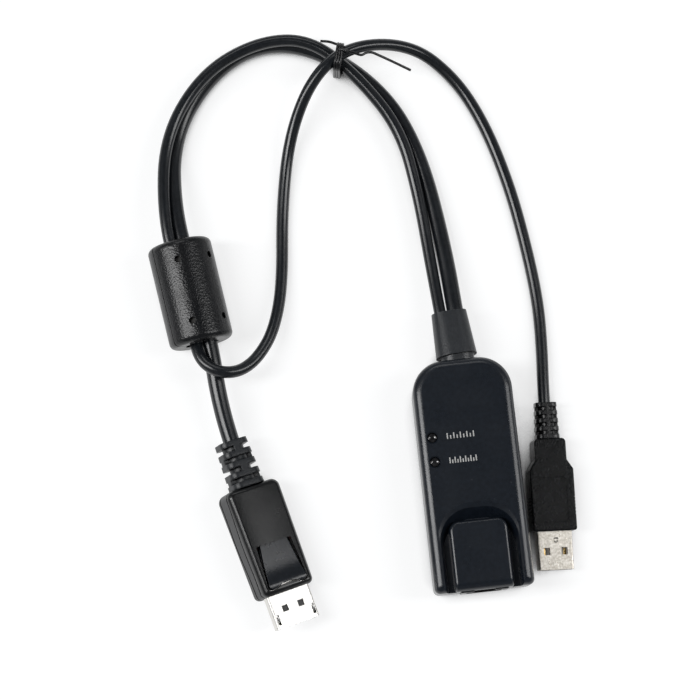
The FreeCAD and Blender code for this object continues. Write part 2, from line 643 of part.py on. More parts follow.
def jack_body():
    """Eight-way modular socket, its latch notch at the top and open there at the front."""
    body = centred_box(JACK_WIDTH, JACK_FACE_Y, JACK_REAR_Y, BOARD_TOP, JACK_TOP)
    floor = BOARD_TOP + JACK_MOUTH_FLOOR
    mouth_rear = JACK_FACE_Y + JACK_MOUTH_DEPTH
    mouth = centred_box(JACK_MOUTH_WIDTH, JACK_FACE_Y - 1, mouth_rear, floor, floor + JACK_MOUTH_HEIGHT)
    notch = centred_box(JACK_NOTCH_WIDTH, JACK_FACE_Y - 1, mouth_rear, floor,
                        floor + JACK_MOUTH_HEIGHT + JACK_NOTCH_HEIGHT)
    front_notch = centred_box(JACK_NOTCH_WIDTH, JACK_FACE_Y - 1, JACK_FACE_Y + JACK_NOTCH_OPEN,
                              floor, JACK_TOP + 1)
    body = body.cut(fuse_all([mouth, notch, front_notch]))
    for x in contact_positions(CONTACT_COUNT, CONTACT_PITCH):
        body = body.cut(contact_wire(x, CONTACT_WIRE + 2 * FIT))
    return body


def contact_positions(count, pitch):
    return [(index - (count - 1) / 2) * pitch for index in range(count)]


def contact_wire(x, width):
    """Spring wire that runs along the floor of the mouth and slopes up towards its back."""
    floor = BOARD_TOP + JACK_MOUTH_FLOOR
    front = JACK_FACE_Y + 2.0
    rear = JACK_FACE_Y + JACK_MOUTH_DEPTH - 2.0
    tail = JACK_REAR_Y - JACK_PIN_INSET
    half = width / 2
    profile = [(tail, BOARD_BOTTOM), (tail, floor - 2 * half), (front, floor - 2 * half),
               (front, floor), (rear, floor + CONTACT_RISE), (rear + 2 * half, floor + CONTACT_RISE),
               (front + 5 * half, floor), (tail + 2 * half, floor), (tail + 2 * half, BOARD_BOTTOM)]
    wire = Part.makePolygon([Vector(x - half, y, z) for y, z in profile + profile[:1]])
    return Part.Face(wire).extrude(Vector(width, 0, 0))


def jack_contacts():
    return Part.makeCompound([contact_wire(x, CONTACT_WIRE)
                              for x in contact_positions(CONTACT_COUNT, CONTACT_PITCH)])


def lamp_lens(y):
    """Clear rod from just over its lamp to its recess in the upper cover, with a domed end."""
    bottom = BOARD_TOP + LED_HEIGHT + FIT
    top = HOUSING_HEIGHT - LENS_RECESS
    rod = Part.makeCylinder(LENS_DIAMETER / 2, top - bottom, Vector(LENS_X, y, bottom))
    collar_top = HOUSING_HEIGHT - HOUSING_WALL - FIT
    collar = Part.makeCylinder(LENS_DIAMETER / 2 + 0.7, 1.0, Vector(LENS_X, y, collar_top - 1.0))
    lens = rod.fuse(collar).removeSplitter()
    rim = edges_where(lens, lambda b: b.ZMin > top - 1e-3)
    return lens.makeFillet(0.6, rim)


def lamps():
    return Part.makeCompound([on_board(LED_LENGTH, LED_LENGTH * 0.8, LED_HEIGHT, LENS_X, y) for y in LENS_SPOTS_Y])


def processor():
    y = REAR_SCREW_Y - SCREW_POST_DIAMETER / 2 - PROCESSOR_GAP * CHIP_GAP_FIT - PROCESSOR_SIZE / 2
    body = on_board(PROCESSOR_SIZE, PROCESSOR_SIZE, PROCESSOR_HEIGHT, PROCESSOR_X, y)
    return body.makeChamfer(0.3, edges_where(body, lambda b: b.ZMin > BOARD_TOP + PROCESSOR_HEIGHT - 1e-3))


def usb_chip_place():
    """Middle of the USB controller, behind the front screw post and halfway to the side of the board."""
    front = FRONT_SCREW_Y + SCREW_POST_DIAMETER / 2 + USB_CHIP_GAP * CHIP_GAP_FIT
    return BOARD_WIDTH / 4, front + USB_CHIP_SIZE / 2


def usb_chip():
    x, y = usb_chip_place()
    return on_board(USB_CHIP_SIZE, USB_CHIP_SIZE, USB_CHIP_HEIGHT, x, y)


def crystal():
    x, y = usb_chip_place()
    x -= USB_CHIP_SIZE / 2 + CRYSTAL_GAP + CRYSTAL_LENGTH / 2
    body = on_board(CRYSTAL_LENGTH, CRYSTAL_WIDTH, CRYSTAL_HEIGHT, x, y)
    return body.makeFillet(0.5, edges_where(body, lambda b: b.ZLength > CRYSTAL_HEIGHT / 2))


def capacitors():
    cans = []
    reach = BOARD_WIDTH / 2 - CAPACITOR_INSET
    y = usb_chip_place()[1] - USB_CHIP_SIZE / 2 - CAPACITOR_GAP - CAPACITOR_DIAMETER / 2
    for x in (-reach, reach):
        can = Part.makeCylinder(CAPACITOR_DIAMETER / 2, CAPACITOR_HEIGHT, Vector(x, y, BOARD_TOP))
        cans.append(can.makeFillet(0.5, edges_where(can, lambda b: b.ZMin > BOARD_TOP + 1)))
    return Part.makeCompound(cans)


def header_y():
    """Middle of the wire headers, at the board's rear edge."""
    return BOARD_REAR_Y - HEADER_EDGE_GAP - HEADER_DEPTH / 2


def cable_header(width, x):
    y = header_y()
    return on_board(width, HEADER_DEPTH, HEADER_HEIGHT, x, y)


def header_x():
    """Middles of the USB and DisplayPort headers, each on its own side of the screw post."""
    inner = SCREW_POST_DIAMETER / 2 + HEADER_POST_GAP
    return -inner - USB_HEADER_WIDTH / 2, inner + DP_HEADER_WIDTH / 2


def conductors(route, cable_diameter, header_width, header_middle, count):
    """Bare ends of a cable's cores: out of the sheath, then down into the header."""
    start = Vector(*route[0])
    inward = (start - Vector(*route[1])).normalize()
    across = UP.cross(inward).normalize() * -1
    spread = cable_diameter - CONDUCTOR_DIAMETER - 0.4
    top = BOARD_TOP + HEADER_HEIGHT
    cores = []
    for index in range(count):
        share = index / (count - 1) - 0.5
        first = start + across * (share * spread)
        second = first + inward * CORE_STRAIGHT
        landing = (header_middle + share * (header_width - 2), header_y(), top + CORE_DROP)
        cores.append(tube([tuple(first), tuple(second), landing, (landing[0], landing[1], top)],
                          CONDUCTOR_DIAMETER))
    return Part.makeCompound(cores)


# ---------------------------------------------------------------- boot, ferrite bead and tie
def boot():
    """Flange, neck and tapered sleeve in one piece, moulded round both cables."""
    wall_inside = CABLE_END_Y - HOUSING_WALL
    flange = bar_along_y(BOOT_NECK_WIDTH + 2 * BOOT_FLANGE_OVERHANG, BOOT_NECK_HEIGHT + 2 * BOOT_FLANGE_OVERHANG,
                         BOOT_CORNER_SHARE * BOOT_NECK_HEIGHT,
                         wall_inside - FIT - BOOT_FLANGE_THICKNESS, wall_inside - FIT)
    neck = bar_along_y(BOOT_NECK_WIDTH, BOOT_NECK_HEIGHT, BOOT_CORNER_SHARE * BOOT_NECK_HEIGHT,
                       wall_inside - FIT - 1, CABLE_END_Y + BOOT_NECK_SHOWING + 1.5)
    lean = Rotation(UP, BOOT_LEAN).multiply(Rotation(Vector(1, 0, 0), -BOOT_DROOP))
    sleeve_start = Placement(Vector(-0.25, CABLE_END_Y + BOOT_NECK_SHOWING, 0), lean)
    sleeve = taper_along_y((BOOT_BASE_WIDTH, BOOT_BASE_HEIGHT), (BOOT_TIP_WIDTH, BOOT_TIP_HEIGHT),
                           BOOT_CORNER_SHARE, 0, BOOT_LENGTH)
    body = fuse_all([flange, neck, placed(sleeve, sleeve_start)])
    body.translate(Vector(0, 0, BOOT_AXIS_HEIGHT))
    return body.cut(USB_CABLE_CUTTER).cut(DP_CABLE_CUTTER)


def bead_placement():
    turn = Rotation(UP, 180 - BEAD_HEADING).multiply(Rotation(Vector(0, 1, 0), BEAD_ROLL))
    return Placement(Vector(BEAD_X, BEAD_Y, JACKET_DIAMETER / 2), turn)


def along_y(radius, length):
    return Part.makeCylinder(radius, length, Vector(0, -length / 2, 0), Vector(0, 1, 0))


def ferrite_core():
    core = along_y(CORE_DIAMETER / 2, CORE_LENGTH)
    core = core.makeChamfer(0.6, edges_where(core, lambda b: b.YLength < 1e-3))
    return placed(core.cut(along_y(CORE_BORE / 2, CORE_LENGTH + 2)), bead_placement())


def ferrite_jacket():
    """Moulded jacket that fills the core's bore round the cables, with the holes its locating pins left."""
    jacket = along_y(JACKET_DIAMETER / 2, JACKET_LENGTH)
    jacket = jacket.makeFillet(JACKET_EDGE, edges_where(jacket, lambda b: b.YLength < 1e-3))
    room = along_y(CORE_DIAMETER / 2 + CABLE_BORE_GAP, CORE_LENGTH + 2 * CABLE_BORE_GAP)
    room = room.cut(along_y(CORE_BORE / 2 - CABLE_BORE_GAP, CORE_LENGTH + 2))
    jacket = jacket.cut(room)
    for end in (-1, 1):
        low, high = sorted((end * (JACKET_LENGTH / 2 - END_RECESS_DEPTH), end * (JACKET_LENGTH / 2 + 1)))
        jacket = jacket.cut(bar_along_y(END_RECESS_WIDTH, END_RECESS_HEIGHT, END_RECESS_HEIGHT * 0.45, low, high))
    for face in (0, 180):
        for angle in (-PIN_HOLE_ANGLE, PIN_HOLE_ANGLE):
            for y in (-PIN_HOLE_PITCH / 2, PIN_HOLE_PITCH / 2):
                hole = Part.makeCylinder(PIN_HOLE_DIAMETER / 2, JACKET_DIAMETER / 2,
                                         Vector(0, y, (CORE_DIAMETER + CORE_BORE) / 4))
                hole.rotate(Vector(0, 0, 0), Vector(0, 1, 0), face + angle)
                jacket = jacket.cut(hole)
    return placed(jacket, bead_placement()).cut(USB_CABLE_CUTTER).cut(DP_CABLE_CUTTER)


def tie_turn(offset):
    """One closed turn of the tie, in the upright plane across the strands."""
    low, high = TIE_DIAMETER / 2, TIE_TOP - TIE_DIAMETER / 2
    half = TIE_HALF_WIDTH
    loop = rounded_polygon([(-half, low, TIE_CORNER), (half, low, TIE_CORNER),
                            (half, high, TIE_CORNER), (-half, high, TIE_CORNER)], 0)
    loop.rotate(Vector(0, 0, 0), Vector(1, 0, 0), 90)
    start = loop.Edges[0].Vertexes[0].Point
    heading = loop.Edges[0].tangentAt(loop.Edges[0].FirstParameter)
    ring = Part.Wire(Part.makeCircle(TIE_DIAMETER / 2, start, heading))
    turn = loop.makePipeShell([ring], True, False)
    turn.translate(Vector(0, offset, 0))
    return turn


def cable_tie():
    across = Placement(Vector(TIE_CENTRE[0], TIE_CENTRE[1], 0), Rotation(UP, 90 - TIE_HEADING))
    turns = [placed(tie_turn((index - (TIE_TURNS - 1) / 2) * TIE_PITCH), across) for index in range(TIE_TURNS)]
    tails = [tube(points, TIE_DIAMETER) for points in (TIE_LEFT_TAIL, TIE_RIGHT_TAIL)]
    return fuse_all(turns + tails)


# ---------------------------------------------------------------- DisplayPort plug
def dp_cover_block(inset=0.0):
    half_front, half_rear = DP_COVER_FRONT_WIDTH / 2 - inset, DP_COVER_REAR_WIDTH / 2 - inset
    front, rear = inset, DP_COVER_LENGTH - inset
    bottom, top = -DP_COVER_BOTTOM + inset, DP_COVER_TOP - inset
    outline = [(-half_front, front, DP_COVER_FRONT_CORNER), (half_front, front, DP_COVER_FRONT_CORNER),
               (half_rear, rear, DP_COVER_REAR_CORNER), (-half_rear, rear, DP_COVER_REAR_CORNER)]
    block = prism(rounded_polygon(outline, bottom), top - bottom)
    return block.makeFillet(DP_COVER_EDGE, edges_where(block, lambda b: b.ZLength < 1e-6))


def dp_seam(side, offset=0.0):
    """Solid above the wavy seam on the upper (side 1) or lower (side -1) half of the cover's side."""
    span = DP_COVER_LENGTH + 4
    middle = (DP_COVER_TOP - DP_COVER_BOTTOM) / 2
    steps = 8
    points = []
    for index in range(steps + 1):
        share = index / steps
        height = middle + side * (DP_SEAM_FRONT + (DP_SEAM_REAR - DP_SEAM_FRONT) * share) + offset
        wave = DP_SEAM_WAVE * math.sin(3 * math.pi * share)
        points.append(Vector(-DP_COVER_REAR_WIDTH, span * share - 2, height + wave))
    curve = Part.BSplineCurve()
    curve.interpolate(points)
    above = 2 * DP_COVER_TOP
    corner_a = Vector(-DP_COVER_REAR_WIDTH, points[-1].y, above)
    corner_b = Vector(-DP_COVER_REAR_WIDTH, points[0].y, above)
    wire = Part.Wire([curve.toShape(), Part.LineSegment(points[-1], corner_a).toShape(),
                      Part.LineSegment(corner_a, corner_b).toShape(),
                      Part.LineSegment(corner_b, points[0]).toShape()])
    return Part.Face(wire).extrude(Vector(2 * DP_COVER_REAR_WIDTH, 0, 0))


def dp_button_outline(front_gap, rear_gap, z):
    """Trapezium with a wavy front edge; the gaps widen it into the window of the upper cover."""
    half = DP_BUTTON_FRONT_WIDTH / 2 + front_gap
    half_rear = DP_BUTTON_REAR_WIDTH / 2 + rear_gap
    front = DP_BUTTON_FRONT_Y - front_gap
    shoulder = front + 1.2
    wave = [(-1.0, 1.2), (-0.93, 0.3), (-0.7, 0.0), (-0.35, 0.72 * DP_BUTTON_WAVE), (0.0, DP_BUTTON_WAVE),
            (0.35, 0.72 * DP_BUTTON_WAVE), (0.7, 0.0), (0.93, 0.3), (1.0, 1.2)]
    curve = Part.BSplineCurve()
    curve.interpolate([Vector(share * half, front + rise, z) for share, rise in wave])
    right, left = Vector(half, shoulder, z), Vector(-half, shoulder, z)
    rear_right, rear_left = Vector(half_rear, DP_PIVOT_Y, z), Vector(-half_rear, DP_PIVOT_Y, z)
    return Part.Wire([curve.toShape(), Part.LineSegment(right, rear_right).toShape(),
                      Part.LineSegment(rear_right, rear_left).toShape(),
                      Part.LineSegment(rear_left, left).toShape()])


def dp_spring_level():
    return DP_SHELL_THICKNESS / 2 - DP_SHELL_WALL - DP_SPRING_GAP


def dp_room():
    """Inside of the cover: shell tail, paddle card, latch spring and the end of the cable."""
    shell_half = DP_SHELL_WIDTH / 2 + CABLE_BORE_GAP
    shell_depth = DP_SHELL_THICKNESS / 2 + CABLE_BORE_GAP
    socket = box(-shell_half, shell_half, -1, DP_PIVOT_Y + 1, -shell_depth, shell_depth)
    cores = box(-DP_CARD_WIDTH / 2 - FIT, DP_CARD_WIDTH / 2 + FIT, DP_PIVOT_Y,
                DP_COVER_LENGTH - DP_CABLE_DEPTH + 3 * FIT, -shell_depth, shell_depth)
    return socket.fuse(cores)


def dp_button_pocket():
    """Open slot round the button, deep enough for its travel."""
    bottom = dp_spring_level() - FIT
    return prism(dp_button_outline(DP_BUTTON_GAP, DP_BUTTON_REAR_GAP, bottom), 2 * DP_COVER_TOP)


def dp_inner_block():
    """What the two covers enclose, drawn in by their wall."""
    half_front = DP_COVER_FRONT_WIDTH / 2 - DP_COVER_WALL
    half_rear = DP_COVER_REAR_WIDTH / 2 - DP_COVER_WALL
    bottom, top = DP_COVER_WALL - DP_COVER_BOTTOM, DP_COVER_TOP - DP_COVER_WALL
    outline = [(-half_front, DP_COVER_WALL, 0.5), (half_front, DP_COVER_WALL, 0.5),
               (half_rear, DP_COVER_LENGTH - DP_COVER_WALL, 0.5),
               (-half_rear, DP_COVER_LENGTH - DP_COVER_WALL, 0.5)]
    return prism(rounded_polygon(outline, bottom), top - bottom)


def dp_seam_grooves(block):
    skin = block.cut(dp_cover_block(DP_SEAM_GROOVE))
    half = DP_SEAM_GROOVE / 2
    bands = [dp_seam(side, -half).cut(dp_seam(side, half)) for side in (1, -1)]
    return skin.common(bands[0].fuse(bands[1]))


def dp_cover_pieces():
    """Upper cover, inner mould and lower cover; the mould shows as a band between two wavy seams."""
    block = dp_cover_block()
    block = block.cut(dp_seam_grooves(block)).cut(dp_room()).cut(dp_button_pocket())
    inner = dp_inner_block()
    upper = block.common(dp_seam(1)).cut(inner)
    lower = block.cut(dp_seam(-1)).cut(inner)
    mould = block.cut(upper).cut(lower)
    return upper, mould, lower


def dp_shell_section(inset, y):
    half, rise = DP_SHELL_WIDTH / 2 - inset, DP_SHELL_THICKNESS / 2 - inset
    corner = max(DP_SHELL_CORNER - inset, 0.1)
    key = DP_SHELL_KEY - inset * 0.6
    wire = rounded_polygon([(-half, -rise + key, corner / 2), (-half + key, -rise, corner / 2),
                            (half, -rise, corner), (half, rise, corner), (-half, rise, corner)], 0)
    wire.rotate(Vector(0, 0, 0), Vector(1, 0, 0), 90)
    wire.translate(Vector(0, y, 0))
    return wire


def dp_metal_shell():
    """Folded shell with one keyed corner, two windows and the slits for the latch hooks."""
    front, rear = -DP_SHELL_LENGTH, DP_SHELL_TAIL
    shell = Part.Face(dp_shell_section(0, front)).extrude(Vector(0, rear - front, 0))
    hollow = Part.Face(dp_shell_section(DP_SHELL_WALL, front - 1)).extrude(Vector(0, rear - front + 2, 0))
    shell = shell.cut(hollow)
    for side in (-1, 1):
        window = centred_box(DP_WINDOW, DP_WINDOW_Y - DP_WINDOW / 2, DP_WINDOW_Y + DP_WINDOW / 2,
                             0, DP_SHELL_THICKNESS, side * DP_WINDOW_X)
        slit = centred_box(DP_SLIT_WIDTH, DP_HOOK_Y - DP_SLIT_LENGTH / 2, DP_HOOK_Y + DP_SLIT_LENGTH / 2,
                           0, DP_SHELL_THICKNESS, side * DP_HOOK_X)
        shell = shell.cut(window).cut(slit)
    return shell


def dp_insert():
    """Insulator in the shell: a slot for the socket's tongue, and channels for the latch arms."""
    front, rear = -DP_SHELL_LENGTH + DP_INSERT_RECESS, DP_SHELL_TAIL - 1.5
    body = Part.Face(dp_shell_section(DP_SHELL_WALL + CABLE_BORE_GAP, front)).extrude(Vector(0, rear - front, 0))
    slot = centred_box(DP_TONGUE_SLOT_WIDTH, front - 1, front + DP_TONGUE_SLOT_DEPTH,
                       -DP_TONGUE_SLOT_HEIGHT / 2, DP_TONGUE_SLOT_HEIGHT / 2)
    body = body.cut(slot)
    for side in (-1, 1):
        body = body.cut(centred_box(2 * (DP_SHELL_WIDTH / 2 - DP_HOOK_X - DP_SHELL_WALL + 0.4),
                                    front - 1, rear + 1, 0.2, DP_SHELL_THICKNESS, side * (DP_HOOK_X + 0.2)))
    for x, level in dp_contact_spots():
        body = body.cut(dp_contact(x, level, 0.04))
    card_slot = centred_box(DP_CARD_WIDTH + 0.2, rear - 1.2, rear + 1, -DP_CARD_THICKNESS / 2 - 0.05,
                            DP_CARD_THICKNESS / 2 + 0.05)
    return body.cut(card_slot)


def dp_contact_spots():
    spots = []
    for x in contact_positions(DP_CONTACTS_PER_SIDE, DP_CONTACT_PITCH):
        spots += [(x, 1), (x, -1)]
    return spots


def dp_contact(x, side, grow):
    """Flat strip sunk into the slot's roof or floor."""
    front = -DP_SHELL_LENGTH + DP_INSERT_RECESS + 0.6
    rear = -DP_SHELL_LENGTH + DP_INSERT_RECESS + DP_TONGUE_SLOT_DEPTH - 0.4
    inner = side * (DP_TONGUE_SLOT_HEIGHT / 2 - 0.05)
    outer = side * (DP_TONGUE_SLOT_HEIGHT / 2 + DP_CONTACT_THICKNESS + grow)
    return centred_box(DP_CONTACT_WIDTH + 2 * grow, front - grow, rear + grow,
                       min(inner, outer), max(inner, outer), x)


def dp_contacts():
    return Part.makeCompound([dp_contact(x, side, 0) for x, side in dp_contact_spots()])


def dp_card():
    rear = DP_SHELL_TAIL - 1.5
    return centred_box(DP_CARD_WIDTH, rear - 1.1, rear - 1.1 + DP_CARD_LENGTH,
                       -DP_CARD_THICKNESS / 2, DP_CARD_THICKNESS / 2)


def dp_conductors():
    """Cores between the end of the sheath and the paddle card."""
    start = DP_SHELL_TAIL - 2.6 + DP_CARD_LENGTH
    end = DP_COVER_LENGTH - DP_CABLE_DEPTH
    cores = []
    for index in range(5):
        share = index / 4 - 0.5
        core = straight_tube((share * (DP_CARD_WIDTH - 2), start, 0),
                             (share * (DP_CABLE_DIAMETER - CONDUCTOR_DIAMETER - 0.6), end, 0),
                             CONDUCTOR_DIAMETER)
        cores.append(core.cut(dp_card()))
    return Part.makeCompound(cores)


def dp_latch_button():
    """Press tongue in the upper cover: flush at its hinge, dished, with a raised and wavy front lip."""
    top = DP_COVER_TOP
    blank = prism(dp_button_outline(0, 0, top - DP_BUTTON_THICKNESS), DP_BUTTON_THICKNESS + 2)
    half = DP_BUTTON_FRONT_WIDTH
    front = DP_BUTTON_FRONT_Y
    profile = [(front - 1, -0.6), (front + 1.3, DP_BUTTON_CROWN), (front + 4, 0.05), (front + 8, -DP_BUTTON_DIP),
               (front + 12, -DP_BUTTON_DIP / 3), (DP_PIVOT_Y, 0.0), (DP_PIVOT_Y + 1, 0.0)]
    points = [Vector(-half, y, top + rise) for y, rise in profile]
    curve = Part.BSplineCurve()
    curve.interpolate(points)
    base_front = Vector(-half, points[0].y, 0)
    base_rear = Vector(-half, points[-1].y, 0)
    wire = Part.Wire([curve.toShape(), Part.LineSegment(points[-1], base_rear).toShape(),
                      Part.LineSegment(base_rear, base_front).toShape(),
                      Part.LineSegment(base_front, points[0]).toShape()])
    crown = Part.Face(wire).extrude(Vector(2 * half, 0, 0))
    button = blank.common(crown)
    foot = centred_box(DP_FOOT_WIDTH, DP_FOOT_START, DP_FOOT_START + DP_FOOT_LENGTH, dp_spring_level(),
                       top - DP_BUTTON_THICKNESS + 0.2)
    return button.fuse(foot).removeSplitter()


def dp_latch_spring():
    """Sheet-metal fork under the button, with a hook at the end of each arm."""
    top = dp_spring_level()
    bottom = top - DP_SPRING_THICKNESS
    tip = DP_HOOK_Y - 0.9
    plate = centred_box(2 * DP_HOOK_X + DP_SPRING_WIDTH, 3.6, DP_PIVOT_Y - 1.0, bottom, top)
    pieces = [plate]
    for side in (-1, 1):
        pieces.append(centred_box(DP_SPRING_WIDTH, tip, DP_FOOT_START, bottom, top, side * DP_HOOK_X))
        x = side * DP_HOOK_X
        high = DP_SHELL_THICKNESS / 2 + DP_HOOK_RISE
        hook = Part.makePolygon([Vector(x - DP_SPRING_WIDTH / 2, y, z) for y, z in
                                 ((DP_HOOK_Y - 0.9, top - 0.05), (DP_HOOK_Y + 0.5, high), (DP_HOOK_Y + 0.9, high),
                                  (DP_HOOK_Y + 0.9, top - 0.05), (DP_HOOK_Y - 0.9, top - 0.05))])
        pieces.append(Part.Face(hook).extrude(Vector(DP_SPRING_WIDTH, 0, 0)))
    return fuse_all(pieces)


def relief(base_width, tip_width, flatness, length):
    return taper_along_y((base_width, base_width * flatness), (tip_width, tip_width * flatness), 0.3, 0, length)


def groove_starts(length, rings, groove):
    ring = (length - (rings - 1) * groove) / rings
    return [ring + index * (ring + groove) for index in range(rings - 1)]


def dp_strain_relief():
    """Five rings, joined in turn at top and bottom and at the sides so that it bends both ways."""
    body = relief(DP_RELIEF_BASE_WIDTH, DP_RELIEF_TIP_WIDTH, DP_RELIEF_FLATNESS, DP_RELIEF_LENGTH)
    reach = DP_RELIEF_BASE_WIDTH
    for index, start in enumerate(groove_starts(DP_RELIEF_LENGTH, DP_RELIEF_RINGS, DP_RELIEF_GROOVE)):
        end = start + DP_RELIEF_GROOVE
        sleeve = straight_tube((0, start, 0), (0, end, 0), DP_RELIEF_CORE)
        if index % 2:
            bridges = box(-DP_RELIEF_BRIDGE / 2, DP_RELIEF_BRIDGE / 2, start, end, -reach, reach)
        else:
            bridges = box(-reach, reach, start, end, -DP_RELIEF_BRIDGE / 2, DP_RELIEF_BRIDGE / 2)
        ring = box(-reach, reach, start, end, -reach, reach).cut(bridges).cut(sleeve)
        body = body.cut(ring)
    body.translate(Vector(0, DP_COVER_LENGTH, 0))
    return body


# ---------------------------------------------------------------- USB plug
def usb_cover():
    """Moulded cover: neck, shoulders, grip teeth on both sides and a sunk panel on both faces."""
    half, neck = USB_COVER_WIDTH / 2, USB_NECK_WIDTH / 2
    corner = USB_COVER_CORNER
    outline = [(-half, 0, corner), (half, 0, corner), (half, USB_SHOULDER_START, 1.2),
               (neck, USB_SHOULDER_END, 1.2), (neck, USB_COVER_LENGTH, 1.5), (-neck, USB_COVER_LENGTH, 1.5),
               (-neck, USB_SHOULDER_END, 1.2), (-half, USB_SHOULDER_START, 1.2)]
    cover = prism(rounded_polygon(outline, -USB_COVER_THICKNESS / 2), USB_COVER_THICKNESS)
    cover = cover.makeFillet(USB_COVER_EDGE, edges_where(cover, lambda b: b.ZLength < 1e-6))
    for side in (-1, 1):
        for index in range(USB_TOOTH_COUNT):
            y = USB_TOOTH_START + index * USB_TOOTH_PITCH
            notch = Part.makePolygon([Vector(side * (half - USB_TOOTH_DEPTH), y, -USB_COVER_THICKNESS),
                                      Vector(side * (half + 0.5), y - 0.45, -USB_COVER_THICKNESS),
                                      Vector(side * (half + 0.5), y + 0.45, -USB_COVER_THICKNESS),
                                      Vector(side * (half - USB_TOOTH_DEPTH), y, -USB_COVER_THICKNESS)])
            cover = cover.cut(Part.Face(notch).extrude(Vector(0, 0, 2 * USB_COVER_THICKNESS)))
    for face in (USB_COVER_THICKNESS / 2, -USB_COVER_THICKNESS / 2):
        cover = cover.cut(rounded_box(USB_PANEL_WIDTH, USB_PANEL_LENGTH, 2 * USB_PANEL_DEPTH, USB_PANEL_CORNER,
                                      USB_PANEL_START, face - USB_PANEL_DEPTH))
    tail = bar_along_y(USB_SHELL_WIDTH + 2 * CABLE_BORE_GAP, USB_SHELL_THICKNESS + 2 * CABLE_BORE_GAP,
                       USB_SHELL_CORNER, -1, USB_SHELL_TAIL)
    room = bar_along_y(USB_SHELL_WIDTH - 3, USB_SHELL_THICKNESS, 0.3, USB_SHELL_TAIL - 1,
                       USB_COVER_LENGTH - USB_CABLE_DEPTH)
    return cover.cut(tail).cut(room)


def usb_metal_shell():
    shell = bar_along_y(USB_SHELL_WIDTH, USB_SHELL_THICKNESS, USB_SHELL_CORNER, -USB_SHELL_LENGTH, USB_SHELL_TAIL)
    hollow = bar_along_y(USB_SHELL_WIDTH - 2 * USB_SHELL_WALL, USB_SHELL_THICKNESS - 2 * USB_SHELL_WALL,
                         USB_SHELL_CORNER - USB_SHELL_WALL, -USB_SHELL_LENGTH - 1, USB_SHELL_TAIL + 1)
    shell = shell.cut(hollow)
    for side in (-1, 1):
        shell = shell.cut(centred_box(USB_WINDOW_WIDTH, USB_WINDOW_Y - USB_WINDOW_LENGTH / 2,
                                      USB_WINDOW_Y + USB_WINDOW_LENGTH / 2, -USB_SHELL_THICKNESS,
                                      USB_SHELL_THICKNESS, side * USB_WINDOW_X))
    return shell


def usb_insert_top():
    return -USB_SHELL_THICKNESS / 2 + USB_SHELL_WALL + CABLE_BORE_GAP + USB_INSERT_THICKNESS


def usb_insert():
    inset = USB_SHELL_WALL + CABLE_BORE_GAP
    front = -USB_SHELL_LENGTH + USB_INSERT_RECESS
    body = bar_along_y(USB_SHELL_WIDTH - 2 * inset, USB_SHELL_THICKNESS - 2 * inset,
                       max(USB_SHELL_CORNER - inset, 0.1), front, USB_SHELL_TAIL)
    body = body.cut(centred_box(USB_SHELL_WIDTH, front - 1, USB_SHELL_TAIL + 1,
                                usb_insert_top(), USB_SHELL_THICKNESS))
    for x in contact_positions(USB_CONTACT_COUNT, USB_CONTACT_PITCH):
        body = body.cut(usb_contact(x, 0.04))
    return body


def usb_contact(x, grow):
    top = usb_insert_top()
    front = -USB_SHELL_LENGTH + USB_INSERT_RECESS + 1.4
    return centred_box(USB_CONTACT_WIDTH + 2 * grow, front - grow, USB_SHELL_TAIL + 1.5, top - 0.3 - grow,
                       top + 0.02, x)


def usb_contacts():
    return Part.makeCompound([usb_contact(x, 0) for x in contact_positions(USB_CONTACT_COUNT, USB_CONTACT_PITCH)])


def usb_conductors():
    """Four cores from the sheath's end to the tails of the contacts."""
    start = USB_SHELL_TAIL + 1.5
    end = USB_COVER_LENGTH - USB_CABLE_DEPTH
    level = usb_insert_top() - 0.15
    cores = []
    for x in contact_positions(USB_CONTACT_COUNT, USB_CONTACT_PITCH):
        core = straight_tube((x, start, level), (x * USB_CORE_GATHER, end, 0), CONDUCTOR_DIAMETER)
        cores.append(core.cut(usb_contact(x, 0)))
    return Part.makeCompound(cores)


def usb_strain_relief():
    """Rings joined by a spine on each of the four sides, leaving two windows in each groove."""
    body = relief(USB_RELIEF_BASE_WIDTH, USB_RELIEF_TIP_WIDTH, USB_RELIEF_FLATNESS, USB_RELIEF_LENGTH)
    reach = USB_RELIEF_BASE_WIDTH
    half = USB_RELIEF_SPINE / 2
    for start in groove_starts(USB_RELIEF_LENGTH, USB_RELIEF_RINGS, USB_RELIEF_GROOVE):
        end = start + USB_RELIEF_GROOVE
        sleeve = straight_tube((0, start, 0), (0, end, 0), USB_RELIEF_CORE)
        spines = box(-half, half, start, end, -reach, reach).fuse(box(-reach, reach, start, end, -half, half))
        body = body.cut(box(-reach, reach, start, end, -reach, reach).cut(spines).cut(sleeve))
    body.translate(Vector(0, USB_COVER_LENGTH, 0))
    return body


